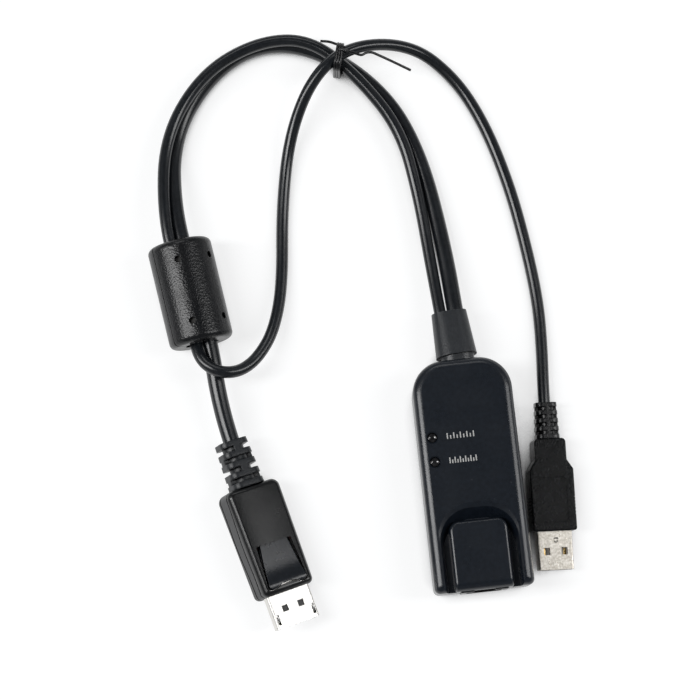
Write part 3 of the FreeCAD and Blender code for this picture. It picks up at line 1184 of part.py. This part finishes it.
# ---------------------------------------------------------------- the nodes
def main():
    os.makedirs("parts", exist_ok=True)
    save(top_cover(), "top_cover")
    save(bottom_cover(), "bottom_cover")
    save(cover_screws(), "cover_screws")
    save(circuit_board(), "circuit_board")
    save(jack_body(), "network_jack")
    save(jack_contacts(), "jack_contacts")
    for number, y in enumerate(LENS_SPOTS_Y, 1):
        save(lamp_lens(y), "lamp_lens_%d" % number)
    save(lamps(), "lamps")
    save(processor(), "video_processor")
    save(usb_chip(), "usb_controller")
    save(crystal(), "crystal")
    save(capacitors(), "capacitors")
    usb_x, dp_x = header_x()
    save(cable_header(USB_HEADER_WIDTH, usb_x), "usb_header")
    save(cable_header(DP_HEADER_WIDTH, dp_x), "dp_header")
    save(conductors(USB_ROUTE, USB_CABLE_DIAMETER, USB_HEADER_WIDTH, usb_x, 4), "usb_header_cores")
    save(conductors(DP_ROUTE, DP_CABLE_DIAMETER, DP_HEADER_WIDTH, dp_x, 5), "dp_header_cores")

    save(boot(), "boot")
    save(ferrite_core(), "ferrite_core")
    save(ferrite_jacket(), "ferrite_jacket")
    save(cable_tie(), "cable_tie")
    save(cable(USB_ROUTE, USB_CABLE_DIAMETER, "usb_cable"), "usb_cable")
    save(cable(DP_ROUTE, DP_CABLE_DIAMETER, "dp_cable"), "dp_cable")

    upper, mould, lower = dp_cover_pieces()
    dp_pieces = {"dp_upper_cover": upper, "dp_inner_mould": mould, "dp_lower_cover": lower,
                 "dp_metal_shell": dp_metal_shell(), "dp_insert": dp_insert(), "dp_contacts": dp_contacts(),
                 "dp_paddle_card": dp_card(), "dp_cores": dp_conductors(), "dp_latch_button": dp_latch_button(),
                 "dp_latch_spring": dp_latch_spring(), "dp_strain_relief": dp_strain_relief()}
    for name, shape in dp_pieces.items():
        save(placed(shape, DP_PLACEMENT).cut(DP_CABLE_CUTTER), name)

    usb_pieces = {"usb_cover": usb_cover(), "usb_metal_shell": usb_metal_shell(), "usb_insert": usb_insert(),
                  "usb_contacts": usb_contacts(), "usb_cores": usb_conductors(),
                  "usb_strain_relief": usb_strain_relief()}
    for name, shape in usb_pieces.items():
        save(placed(shape, USB_PLACEMENT).cut(USB_CABLE_CUTTER), name)


main()
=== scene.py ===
import json
import math

import bmesh
import bpy
from mathutils import Matrix, Vector


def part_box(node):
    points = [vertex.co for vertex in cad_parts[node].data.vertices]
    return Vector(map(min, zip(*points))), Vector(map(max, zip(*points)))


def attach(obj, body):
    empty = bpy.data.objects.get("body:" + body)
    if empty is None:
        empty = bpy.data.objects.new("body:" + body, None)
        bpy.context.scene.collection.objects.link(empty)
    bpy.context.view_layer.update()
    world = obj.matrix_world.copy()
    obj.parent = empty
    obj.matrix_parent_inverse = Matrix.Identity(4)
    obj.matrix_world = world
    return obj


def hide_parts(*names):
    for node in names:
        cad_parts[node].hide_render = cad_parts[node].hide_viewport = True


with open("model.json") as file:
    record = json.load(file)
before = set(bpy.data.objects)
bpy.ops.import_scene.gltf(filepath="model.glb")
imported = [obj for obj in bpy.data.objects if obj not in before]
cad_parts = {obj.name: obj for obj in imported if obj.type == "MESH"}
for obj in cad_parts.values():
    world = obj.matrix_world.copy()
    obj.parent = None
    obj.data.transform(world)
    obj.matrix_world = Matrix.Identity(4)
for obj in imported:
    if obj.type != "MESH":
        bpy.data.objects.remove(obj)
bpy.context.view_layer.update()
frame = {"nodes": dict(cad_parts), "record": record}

MM = 0.001
MAIN_BODY = "adapter"

# ---------------------------------------------------------------- camera and light
CAMERA_SPOT_MM = (-48.45, -68.45, 892.3)
CAMERA_AIM_MM = (-35.87, 48.35, 0.0)
PICTURE_UP = (0.1071, 0.9943, 0.0)
LENS_MM = 134.7
LIGHT_AIM = (-0.03, 0.05, 0.0)
SKY_STOPS = (                              # how high in the sky, from 0 straight below to 1 straight above
    (0.0, (0.20, 0.21, 0.22)), (0.45, (0.2112, 0.2156, 0.22)), (0.70, (0.2112, 0.2156, 0.22)),
    (0.86, (0.096, 0.098, 0.10)), (0.95, (0.048, 0.049, 0.05)), (1.0, (0.03, 0.032, 0.038)),
)
FLOOR_WHITE = 0.72                         # added to the lit floor where it is seen
# painted shade on the floor: the added white fades out where the floor is closed in, in gaps and at the feet of
# parts
FLOOR_SHADE_REACH = 8 * MM
FLOOR_SHADE_SHARE = (0.3, 0.62)           # open share of the floor at which that white begins and is whole

# ---------------------------------------------------------------- marks on the surfaces, and painted shade in their corners
NEAR_BLACK = (0.0008, 0.0008, 0.001, 1)
DULL_GLOSS = 0.03
BEAD_SEAM_NORMAL = (0.571, 0.076, 0.817)   # the parting plane runs along the bead, left of its top
BEAD_SEAM_WIDTH = 0.35 * MM
BEAD_SEAM_DEPTH = 0.2 * MM
DP_FACE_POINT_DROP = 3.3 * MM              # from the plug's axis down to the record's mount point
DP_SEAM_START = -2 * MM                    # behind the front face, where the seams' wave begins
DP_SEAM_SPAN = 41.6 * MM
DP_SEAM_FRONT = 1.8 * MM                   # of each seam from their middle, at the start
DP_SEAM_GROWTH = 1.4 * MM                  # of that, over the span
DP_SEAM_WAVE = 0.4 * MM
DP_SEAM_HALF_WAVES = 3
DP_SEAM_MIDDLE = -0.4 * MM
DP_SEAM_WIDTH = 0.5 * MM
DP_SEAM_DEPTH = 0.1 * MM
DP_CREST_SIDE = 2.5 * MM                   # of the cover's crest from the hinge's middle, along its axis
DP_HALF_WIDTH = 11.5 * MM
DP_COVER_RISE = 1.3 * MM
DP_BUTTON_RISE = 0.5 * MM
# how far the painted shade in grooves and inner corners reaches
CORNER_SHADE_REACH = 1.2 * MM
METAL_EDGE = 0.08 * MM
LENS_RADIUS = 1.6 * MM
LENS_DISH = 0.36 * MM
USB_DIMPLE_SPOT = (7.2 * MM, 3.0 * MM)     # across the shell from the mount point, and ahead of the cover
USB_DIMPLE_RADIUS = 1.0 * MM
USB_DIMPLE_DEPTH = 0.3 * MM
TICK_WIDTH = 0.4 * MM
TICK_HEIGHT = 2.0 * MM
TICK_THICKNESS = 0.03 * MM
TICK_SUNK = 0.002 * MM                     # into the housing, so that no gap shows
TICK_GAP = 2.7 * MM                        # between a lamp and its row
TICK_ROW_LENGTH = 8.8 * MM

# ---------------------------------------------------------------- cords
USB_DIAMETER = 4.1 * MM
DP_DIAMETER = 5.7 * MM
USB_ROUTE_MM = (
    (-2.7, 33.6, 10.2), (-3.9, 53.3, 9.1), (-5.3, 74.2, 6.9), (-6.8, 98.2, 6.7), (-10.4, 121.3, 7.9),
    (-22.1, 140.1, 8.8), (-37.5, 156.1, 9.4), (-56.0, 157.7, 8.5), (-76.4, 148.5, 8.2),
    (-91.5, 127.5, 9.4), (-94.6, 99.5, 12.4), (-91.3, 77.1, 12.2), (-88.9, 63.7, 12.3),
    (-88.1, 55.7, 12.7), (-86.8, 48.9, 14.3), (-83.0, 44.7, 15.4), (-78.0, 43.0, 15.0),
    (-72.6, 43.9, 12.8), (-66.9, 48.3, 9.6), (-61.0, 57.2, 6.0), (-56.6, 72.8, 3.2),
    (-53.9, 100.5, 2.1), (-48.4, 125.3, 5.0), (-38.0, 143.0, 13.4), (-23.7, 151.7, 14.0),
    (-3.1, 151.7, 4.6), (10.4, 139.1, 2.1), (18.9, 121.7, 2.1), (24.8, 99.9, 2.1),
    (28.0, 79.4, 2.1), (30.0, 59.5, 2.1), (29.7, 44.3, 2.8), (27.7, 21.8, 4.7), (27.1, 4.0, 4.8),
)
DP_ROUTE_MM = (
    (2.4, 33.6, 10.2), (1.2, 53.1, 9.1), (-0.1, 79.4, 5.2), (-4.6, 112.7, 3.0), (-14.4, 135.7, 3.5),
    (-35.1, 153.9, 4.2), (-56.2, 158.7, 3.1), (-75.1, 148.5, 2.9), (-89.2, 127.9, 3.6),
    (-91.0, 100.6, 8.8), (-86.6, 77.1, 10.0), (-83.0, 54.1, 9.8), (-82.0, 34.7, 9.2),
    (-78.6, 16.3, 9.0), (-74.2, -1.1, 8.9),
)


# ---------------------------------------------------------------- camera and studio
def make_camera():
    """Almost straight down on the object, turned and tipped a little."""
    spot = Vector(CAMERA_SPOT_MM) * MM
    aim = Vector(CAMERA_AIM_MM) * MM
    back = (spot - aim).normalized()
    right = Vector(PICTURE_UP).cross(back).normalized()
    up = back.cross(right)
    camera_data = bpy.data.cameras.new("camera")
    camera_data.sensor_width = 36.0
    camera_data.lens = LENS_MM
    camera_data.clip_end = 20.0
    camera = bpy.data.objects.new("camera", camera_data)
    bpy.context.collection.objects.link(camera)
    camera.matrix_world = Matrix.Translation(spot) @ Matrix((right, up, back)).transposed().to_4x4()
    bpy.context.scene.camera = camera


def make_area_light(name, spot, size, power):
    light = bpy.data.lights.new(name, "AREA")
    light.shape = "RECTANGLE"
    light.size, light.size_y = size
    light.energy = power
    lamp = bpy.data.objects.new(name, light)
    bpy.context.collection.objects.link(lamp)
    lamp.location = spot
    lamp.rotation_euler = (Vector(LIGHT_AIM) - Vector(spot)).to_track_quat("-Z", "Y").to_euler()


def make_sky():
    """Dim straight above, so that flat black tops stay black, and brighter towards the horizon."""
    world = bpy.data.worlds.new("studio")
    bpy.context.scene.world = world
    world.use_nodes = True
    nodes, links = world.node_tree.nodes, world.node_tree.links
    direction = nodes.new("ShaderNodeTexCoord")
    parts = nodes.new("ShaderNodeSeparateXYZ")
    links.new(direction.outputs["Generated"], parts.inputs["Vector"])
    ramp = nodes.new("ShaderNodeValToRGB")
    stops = ramp.color_ramp.elements
    for height, _ in SKY_STOPS[1:-1]:
        stops.new(height)
    for stop, (_, colour) in zip(stops, SKY_STOPS):
        stop.color = (*colour, 1)
    links.new(parts.outputs["Z"], ramp.inputs["Fac"])
    links.new(ramp.outputs["Color"], nodes["Background"].inputs["Color"])


def make_studio():
    make_area_light("softbox_left", (-1.02, 0.10, 1.25), (0.36, 1.3), 16.5)
    make_area_light("softbox_right", (1.12, 0.02, 1.06), (0.42, 1.2), 9.5)
    make_area_light("softbox_far", (-0.05, 1.25, 1.05), (1.0, 0.3), 2.5)
    make_sky()


def white_where_seen(material, level):
    """Adds white to what the camera, mirrors and glass see of a surface, less of it in narrow corners, so that
    painted shade lies there.
    """
    nodes, links = material.node_tree.nodes, material.node_tree.links
    shader = nodes["Principled BSDF"]
    path = nodes.new("ShaderNodeLightPath").outputs
    seen = calculate(material, "MAXIMUM", path["Is Camera Ray"], path["Is Glossy Ray"])
    seen = calculate(material, "MAXIMUM", seen, path["Is Transmission Ray"])
    # painted shade: the white is cut where ambient occlusion finds the floor closed in
    open_share = openness(material, FLOOR_SHADE_REACH, 8, *FLOOR_SHADE_SHARE)
    shader.inputs["Emission Color"].default_value = (level, level, level, 1)
    links.new(multiply(material, seen, open_share), shader.inputs["Emission Strength"])


def make_floor():
    bpy.ops.mesh.primitive_plane_add(size=6.0, location=(0, 0, 0))
    floor = bpy.context.object
    floor.name = "floor"
    material = bpy.data.materials.new("floor_white")
    material.use_nodes = True
    shader = material.node_tree.nodes["Principled BSDF"]
    shader.inputs["Base Color"].default_value = (0.36, 0.365, 0.37, 1)
    shader.inputs["Roughness"].default_value = 0.9
    shader.inputs["Specular IOR Level"].default_value = 0.1
    white_where_seen(material, FLOOR_WHITE)
    floor.data.materials.append(material)


# ---------------------------------------------------------------- cords
def make_cord(name, route_mm, diameter, material):
    curve = bpy.data.curves.new(name, "CURVE")
    curve.dimensions = "3D"
    curve.bevel_depth = diameter / 2
    curve.bevel_resolution = 8
    curve.resolution_u = 10
    curve.use_fill_caps = True
    spline = curve.splines.new("NURBS")
    spline.points.add(len(route_mm) - 1)
    for point, (x, y, z) in zip(spline.points, route_mm):
        point.co = (x * MM, y * MM, z * MM, 1)
    spline.order_u = 3
    spline.use_endpoint_u = True
    curve.materials.append(material)
    cord = bpy.data.objects.new(name, curve)
    bpy.context.collection.objects.link(cord)
    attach(cord, MAIN_BODY)
    return cord


def pieces_named(prefix, without=()):
    return [node for node in sorted(frame["nodes"]) if node.startswith(prefix) and node not in without]


def make_cords(material):
    usb = make_cord("usb_lead", USB_ROUTE_MM, USB_DIAMETER, material)
    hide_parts("usb_cable")
    dp = make_cord("dp_lead", DP_ROUTE_MM, DP_DIAMETER, material)
    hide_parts("dp_cable")
    on_dp = pieces_named("dp_", ("dp_cable", "dp_header", "dp_header_cores"))
    on_dp += ["boot", "ferrite_core", "ferrite_jacket", "cable_tie"]


# ---------------------------------------------------------------- materials
def new_material(name, colour, roughness, metallic=0.0, specular=0.5):
    material = bpy.data.materials.new(name)
    material.use_nodes = True
    shader = material.node_tree.nodes["Principled BSDF"]
    shader.inputs["Base Color"].default_value = (*colour, 1)
    shader.inputs["Roughness"].default_value = roughness
    shader.inputs["Metallic"].default_value = metallic
    shader.inputs["Specular IOR Level"].default_value = specular
    return material


def add_noise(material, scale, detail=4.0, stretch=(1, 1, 1), kind="ShaderNodeTexNoise"):
    """A noise in the object's own coordinates; scale is in features per metre."""
    nodes, links = material.node_tree.nodes, material.node_tree.links
    place = nodes.new("ShaderNodeTexCoord")
    mapping = nodes.new("ShaderNodeMapping")
    mapping.inputs["Scale"].default_value = stretch
    links.new(place.outputs["Object"], mapping.inputs["Vector"])
    noise = nodes.new(kind)
    noise.inputs["Scale"].default_value = scale
    if kind == "ShaderNodeTexNoise":
        noise.inputs["Detail"].default_value = detail
    links.new(mapping.outputs["Vector"], noise.inputs["Vector"])
    return noise


def vary_colour(material, noise, dark, light, low=0.35, high=0.65):
    nodes, links = material.node_tree.nodes, material.node_tree.links
    ramp = nodes.new("ShaderNodeValToRGB")
    for stop, position, colour in zip(ramp.color_ramp.elements, (low, high), (dark, light)):
        stop.position = position
        stop.color = (*colour, 1)
    links.new(noise.outputs[0], ramp.inputs["Fac"])
    links.new(ramp.outputs["Color"], nodes["Principled BSDF"].inputs["Base Color"])


def vary_roughness(material, noise, low, high):
    result = spread(material, noise.outputs[0], 0.3, 0.7, low, high)
    material.node_tree.links.new(result, material.node_tree.nodes["Principled BSDF"].inputs["Roughness"])


def add_bump(material, height, distance):
    """Bends the shaded surface by a height, which counts in the given distance, over what bends it already."""
    nodes, links = material.node_tree.nodes, material.node_tree.links
    normal = nodes["Principled BSDF"].inputs["Normal"]
    bump = nodes.new("ShaderNodeBump")
    bump.inputs["Distance"].default_value = distance
    links.new(height, bump.inputs["Height"])
    if normal.is_linked:
        links.new(normal.links[0].from_socket, bump.inputs["Normal"])
    links.new(bump.outputs["Normal"], normal)


def soften_edges(material, radius):
    """Sharp edges catch light as though they were rounded by the radius; goes in before any bump."""
    nodes, links = material.node_tree.nodes, material.node_tree.links
    bevel = nodes.new("ShaderNodeBevel")
    bevel.samples = 4
    bevel.inputs["Radius"].default_value = radius
    links.new(bevel.outputs["Normal"], nodes["Principled BSDF"].inputs["Normal"])


def add_dust(material, scale, threshold, colour):
    """Small pale specks where a fine noise peaks."""
    noise = add_noise(material, scale, 1.0)
    blend_colour(material, spread(material, noise.outputs[0], threshold, threshold + 0.03), (*colour, 1))


def distance_along(material, origin, axis):
    """How far a point of the surface lies from the origin along an axis, in metres."""
    nodes, links = material.node_tree.nodes, material.node_tree.links
    place = nodes.new("ShaderNodeTexCoord")
    offset = nodes.new("ShaderNodeVectorMath")
    offset.operation = "SUBTRACT"
    offset.inputs[1].default_value = origin
    links.new(place.outputs["Object"], offset.inputs[0])
    along = nodes.new("ShaderNodeVectorMath")
    along.operation = "DOT_PRODUCT"
    along.inputs[1].default_value = axis
    links.new(offset.outputs["Vector"], along.inputs[0])
    return along.outputs["Value"]


def calculate(material, operation, *values):
    """One step of arithmetic in the material; each value is a number or an output."""
    nodes, links = material.node_tree.nodes, material.node_tree.links
    result = nodes.new("ShaderNodeMath")
    result.operation = operation
    for socket, value in zip(result.inputs, values):
        if isinstance(value, (int, float)):
            socket.default_value = value
        else:
            links.new(value, socket)
    return result.outputs[0]


def multiply(material, first, second):
    return calculate(material, "MULTIPLY", first, second)


def spread(material, value, start, end, low=0.0, high=1.0, smooth=False):
    """Stretches the span from start to end of a value over the one from low to high, and stops there."""
    nodes, links = material.node_tree.nodes, material.node_tree.links
    result = nodes.new("ShaderNodeMapRange")
    if smooth:
        result.interpolation_type = "SMOOTHSTEP"
    for name, number in (("From Min", start), ("From Max", end), ("To Min", low), ("To Max", high)):
        result.inputs[name].default_value = number
    links.new(value, result.inputs["Value"])
    return result.outputs["Result"]


def openness(material, reach, samples, start, end):
    """0 where the open share of the surface round a point is start or less, 1 where it is end or more."""
    corner = material.node_tree.nodes.new("ShaderNodeAmbientOcclusion")
    corner.samples = samples
    corner.inputs["Distance"].default_value = reach
    return spread(material, corner.outputs["AO"], start, end, smooth=True)


def add_crown(material, crest, axis, half_width, rise):
    """Domes a moulded face across its width, highest along the line through the crest."""
    across = distance_along(material, crest, axis)
    add_bump(material, multiply(material, multiply(material, across, across), -rise / half_width ** 2), 1.0)


def add_dish(material, centre, radius, depth):
    """Hollows a round face that looks up."""
    squares = []
    for axis in ((1, 0, 0), (0, 1, 0)):
        across = distance_along(material, centre, axis)
        squares.append(multiply(material, across, across))
    add_bump(material, multiply(material, calculate(material, "ADD", *squares), depth / radius ** 2), 1.0)


def blend_colour(material, share, colour):
    """Lays a colour over the material's own, by the share."""
    nodes, links = material.node_tree.nodes, material.node_tree.links
    base = nodes["Principled BSDF"].inputs["Base Color"]
    mix = nodes.new("ShaderNodeMix")
    mix.data_type = "RGBA"
    mix.inputs["B"].default_value = colour
    links.new(share, mix.inputs["Factor"])
    links.new(base.links[0].from_socket, mix.inputs["A"])
    links.new(mix.outputs["Result"], base)


def blacken(material, share):
    """Takes the colour and the gloss away, by the share."""
    gloss = material.node_tree.nodes["Principled BSDF"].inputs["Specular IOR Level"]
    blend_colour(material, share, NEAR_BLACK)
    material.node_tree.links.new(spread(material, share, 0.0, 1.0, gloss.default_value, DULL_GLOSS), gloss)


def paint_corner_shade(material, reach, full):
    """Painted shade: grooves and inner corners go dark and lose their gloss; full is the open share at which a
    surface has its own colour.
    """
    blacken(material, calculate(material, "SUBTRACT", 1.0, openness(material, reach, 6, full * 0.45, full)))


def wavy_seams(material, front, along, up):
    """How far a point is from the nearer of the two wavy seams round the DisplayPort plug's cover."""
    start = front + along * DP_SEAM_START
    share = calculate(material, "DIVIDE", distance_along(material, start, along), DP_SEAM_SPAN)
    half_waves = multiply(material, share, DP_SEAM_HALF_WAVES * math.pi)
    wave = multiply(material, calculate(material, "SINE", half_waves), DP_SEAM_WAVE)
    apart = calculate(material, "ADD", multiply(material, share, DP_SEAM_GROWTH), DP_SEAM_FRONT)
    height = distance_along(material, front + up * DP_SEAM_MIDDLE, up)
    height = calculate(material, "SUBTRACT", height, wave)
    above, below = (calculate(material, "ABSOLUTE", calculate(material, operation, height, apart))
                    for operation in ("SUBTRACT", "ADD"))
    return calculate(material, "MINIMUM", above, below)


def add_dimple(material, corner, across, along, spot, radius, depth):
    """A round pressed mark on a sheet, at a spot measured across and along it from a corner."""
    squares = []
    for axis, place in zip((across, along), spot):
        offset = calculate(material, "SUBTRACT", distance_along(material, corner, axis), place)
        squares.append(multiply(material, offset, offset))
    reach = calculate(material, "SQRT", calculate(material, "ADD", *squares))
    add_bump(material, spread(material, reach, radius * 0.4, radius, high=depth, smooth=True), 1.0)


def add_seam(material, across, width, depth):
    """A dark parting line where the signed distance across it is nought."""
    near = spread(material, calculate(material, "ABSOLUTE", across), width, width / 3, smooth=True)
    blacken(material, near)
    add_bump(material, near, -depth)


def moulded_plastic(name, dark, light, roughness, specular, grain, grain_height, edge):
    """Moulded plastic: fine texture, faint cloudiness and a little wear in the gloss."""
    material = new_material(name, light, sum(roughness) / 2, specular=specular)
    if edge:
        soften_edges(material, edge)
    vary_colour(material, add_noise(material, 700, 8), dark, light)
    vary_roughness(material, add_noise(material, 90, 8), *roughness)
    add_bump(material, add_noise(material, grain, kind="ShaderNodeTexVoronoi").outputs[0], grain_height)
    add_bump(material, add_noise(material, grain * 0.6, 1).outputs[0], grain_height * 0.6)
    return material


def worn_metal(name, dark, light, roughness):
    """Plated sheet: fine grain along the sheet, cloudy tarnish and uneven gloss."""
    metal = new_material(name, light, sum(roughness) / 2, metallic=1.0)
    soften_edges(metal, METAL_EDGE)
    vary_colour(metal, add_noise(metal, 1400, 8), dark, light)
    vary_roughness(metal, add_noise(metal, 900, 4, stretch=(1, 0.12, 1)), *roughness)
    add_bump(metal, add_noise(metal, 3500, 4, stretch=(1, 0.3, 1)).outputs[0], 0.004 * MM)
    return metal


def make_materials():
    materials = {}
    for name, dark, light, roughness, specular, grain, height, edge in (
        ("housing_plastic", (0.0050, 0.0073, 0.0115), (0.0075, 0.0108, 0.0165), (0.26, 0.31), 0.5, 2600, 0.008, 0),
        ("boot_rubber", (0.0095, 0.0115, 0.0145), (0.0145, 0.0172, 0.0212), (0.34, 0.42), 0.6, 1700, 0.04, 0.25),
        ("cable_jacket", (0.0058, 0.0070, 0.0088), (0.0105, 0.0126, 0.0155), (0.20, 0.27), 0.5, 2400, 0.0025, 0),
        ("bead_plastic", (0.0014, 0.0017, 0.0024), (0.0036, 0.0042, 0.0055), (0.27, 0.34), 0.42, 1600, 0.06, 0.2),
        ("plug_cover", (0.0032, 0.0036, 0.0039), (0.0052, 0.0057, 0.0062), (0.22, 0.28), 0.47, 3400, 0.008, 0.15),
        ("plug_mould", (0.009, 0.0095, 0.011), (0.014, 0.015, 0.017), (0.34, 0.42), 0.5, 2000, 0.015, 0.12),
        ("usb_overmould", (0.0006, 0.0008, 0.0010), (0.0042, 0.0048, 0.0055), (0.22, 0.28), 0.13, 2100, 0.04, 0.2),
        ("latch_button", (0.0042, 0.0058, 0.0085), (0.0075, 0.010, 0.0142), (0.22, 0.30), 0.45, 2300, 0.012, 0.25),
        ("dp_relief", (0.010, 0.0115, 0.014), (0.015, 0.017, 0.020), (0.32, 0.4), 0.4, 2000, 0.012, 0.9),
        ("usb_relief", (0.004, 0.0045, 0.005), (0.007, 0.0075, 0.008), (0.2, 0.26), 0.4, 2000, 0.008, 0.6),
        ("tie_wire", (0.003, 0.003, 0.0035), (0.005, 0.0055, 0.006), (0.25, 0.35), 0.5, 3000, 0.02, 0),
        ("jack_plastic", (0.005, 0.0055, 0.006), (0.008, 0.0085, 0.009), (0.3, 0.4), 0.5, 2600, 0.01, 0.15),
        ("insert_black", (0.005, 0.005, 0.006), (0.009, 0.009, 0.010), (0.35, 0.45), 0.5, 3000, 0.01, 0.1),
        ("insert_white", (0.66, 0.64, 0.60), (0.78, 0.76, 0.73), (0.4, 0.5), 0.5, 3000, 0.01, 0.1),
        ("chip_plastic", (0.012, 0.012, 0.013), (0.02, 0.02, 0.022), (0.5, 0.6), 0.5, 4000, 0.01, 0),
        ("board_laminate", (0.012, 0.09, 0.035), (0.02, 0.13, 0.05), (0.3, 0.4), 0.5, 1500, 0.01, 0),
        ("lamp_white", (0.75, 0.74, 0.66), (0.85, 0.84, 0.78), (0.3, 0.4), 0.5, 3000, 0.01, 0.1),
        ("ferrite", (0.035, 0.034, 0.033), (0.07, 0.068, 0.065), (0.5, 0.7), 0.5, 6000, 0.03, 0.2),
        ("core_insulation", (0.35, 0.03, 0.03), (0.5, 0.05, 0.05), (0.3, 0.4), 0.5, 3000, 0.01, 0),
    ):
        materials[name] = moulded_plastic(name, dark, light, roughness, specular, grain, height * MM, edge * MM)
    add_dust(materials["housing_plastic"], 1800, 0.79, (0.12, 0.13, 0.14))
    add_dust(materials["bead_plastic"], 2600, 0.77, (0.06, 0.06, 0.065))
    add_dust(materials["usb_overmould"], 2400, 0.75, (0.03, 0.03, 0.033))
    hinge = frame["record"]["behaviour"]["joints"][0]
    crest = Vector(hinge["pos_m"]) + Vector(hinge["axis"]) * DP_CREST_SIDE
    add_crown(materials["plug_cover"], crest, hinge["axis"], DP_HALF_WIDTH, DP_COVER_RISE)
    add_crown(materials["latch_button"], crest, hinge["axis"], DP_HALF_WIDTH, DP_BUTTON_RISE)
    # painted shade: the plugs' grooves and inner corners are darkened and dulled by how closed in they are
    for name in ("plug_cover", "latch_button", "plug_mould", "usb_overmould"):
        paint_corner_shade(materials[name], CORNER_SHADE_REACH, 0.92)
    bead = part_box("ferrite_jacket")
    middle = [(low + high) / 2 for low, high in zip(*bead)]
    add_seam(materials["bead_plastic"], distance_along(materials["bead_plastic"], middle, BEAD_SEAM_NORMAL),
             BEAD_SEAM_WIDTH, BEAD_SEAM_DEPTH)
    mounts = {mount["name"]: mount for mount in frame["record"]["mounts"]}
    along = -Vector(mounts["dp_plug_face"]["axis"])
    up = Vector(hinge["axis"]).cross(along)
    front = Vector(mounts["dp_plug_face"]["pos_m"]) + up * DP_FACE_POINT_DROP
    for name in ("plug_cover", "plug_mould"):
        add_seam(materials[name], wavy_seams(materials[name], front, along, up), DP_SEAM_WIDTH, DP_SEAM_DEPTH)
    for name, dark, light, roughness in (
        ("shell_steel", (0.70, 0.685, 0.655), (0.78, 0.765, 0.73), (0.24, 0.36)),
        ("usb_shell", (0.40, 0.37, 0.32), (0.62, 0.595, 0.55), (0.26, 0.42)),
        ("contact_gold", (0.7, 0.48, 0.2), (0.85, 0.62, 0.27), (0.2, 0.35)),
        ("spring_steel", (0.5, 0.5, 0.49), (0.62, 0.61, 0.6), (0.25, 0.4)),
        ("metal_can", (0.6, 0.6, 0.6), (0.7, 0.7, 0.7), (0.25, 0.4)),
        ("screw_steel", (0.45, 0.45, 0.46), (0.58, 0.58, 0.58), (0.25, 0.4)),
    ):
        materials[name] = worn_metal(name, dark, light, roughness)
    ahead = Vector(mounts["usb_plug_face"]["axis"])
    add_dimple(materials["usb_shell"], mounts["usb_plug_face"]["pos_m"], Vector((-ahead.y, ahead.x, 0)), ahead,
               USB_DIMPLE_SPOT, USB_DIMPLE_RADIUS, USB_DIMPLE_DEPTH)
    # painted shade in the strain reliefs' slots and inner corners
    for name in ("dp_relief", "usb_relief"):
        paint_corner_shade(materials[name], CORNER_SHADE_REACH, 0.8)
    for number in ("1", "2"):
        lens = new_material("lens_clear_" + number, (0.012, 0.012, 0.013), 0.05, specular=0.8)
        low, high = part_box("lamp_lens_" + number)
        vary_colour(lens, add_noise(lens, 900, 3), (0.006, 0.006, 0.007), (0.02, 0.02, 0.021))
        add_dish(lens, [(a + b) / 2 for a, b in zip(low, high)], LENS_RADIUS, LENS_DISH)
        materials["lens_clear_" + number] = lens
    return materials


def dress_nodes(materials):
    """Every carried-over node gets the material of its slot, or its own kind of that material."""
    own = {"lamp_lens_1": "lens_clear_1", "lamp_lens_2": "lens_clear_2", "usb_metal_shell": "usb_shell",
           "dp_strain_relief": "dp_relief", "usb_strain_relief": "usb_relief"}
    for entry in frame["record"]["subparts"]:
        node = frame["nodes"][entry["node"]]
        material = materials[own.get(entry["node"], entry["material_slot"])]
        for slot in node.material_slots:
            slot.material = material


# ---------------------------------------------------------------- print
def make_tick_row(name, start, count, material):
    """A printed row of plain ticks, every second one short: thin raised bars on the housing top."""
    mesh = bmesh.new()
    step = TICK_ROW_LENGTH / (count - 1)
    for index in range(count):
        height = TICK_HEIGHT if index % 2 == 0 else TICK_HEIGHT * 0.6
        middle = (start[0] + index * step, start[1] + (height - TICK_HEIGHT) / 2,
                  start[2] + TICK_THICKNESS / 2 - TICK_SUNK)
        bar = bmesh.ops.create_cube(mesh, size=1.0)["verts"]
        bmesh.ops.scale(mesh, vec=(TICK_WIDTH, height, TICK_THICKNESS), verts=bar)
        bmesh.ops.translate(mesh, vec=middle, verts=bar)
    data = bpy.data.meshes.new(name)
    mesh.to_mesh(data)
    mesh.free()
    data.materials.append(material)
    row = bpy.data.objects.new(name, data)
    bpy.context.collection.objects.link(row)
    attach(row, MAIN_BODY)


def make_print(material):
    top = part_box("top_cover")[1][2]
    for name, lens, ticks in (("upper_marks", "lamp_lens_1", 9), ("lower_marks", "lamp_lens_2", 11)):
        low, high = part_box(lens)
        make_tick_row(name, (high[0] + TICK_GAP, (low[1] + high[1]) / 2, top), ticks, material)


# ---------------------------------------------------------------- the scene
make_camera()
make_studio()
make_floor()
bpy.context.scene.view_settings.view_transform = "Standard"
finishes = make_materials()
make_cords(finishes["cable_jacket"])
dress_nodes(finishes)
make_print(moulded_plastic("print_grey", (0.38, 0.38, 0.37), (0.5, 0.5, 0.49), (0.4, 0.5),
                           0.4, 3000, 0.004 * MM, 0))
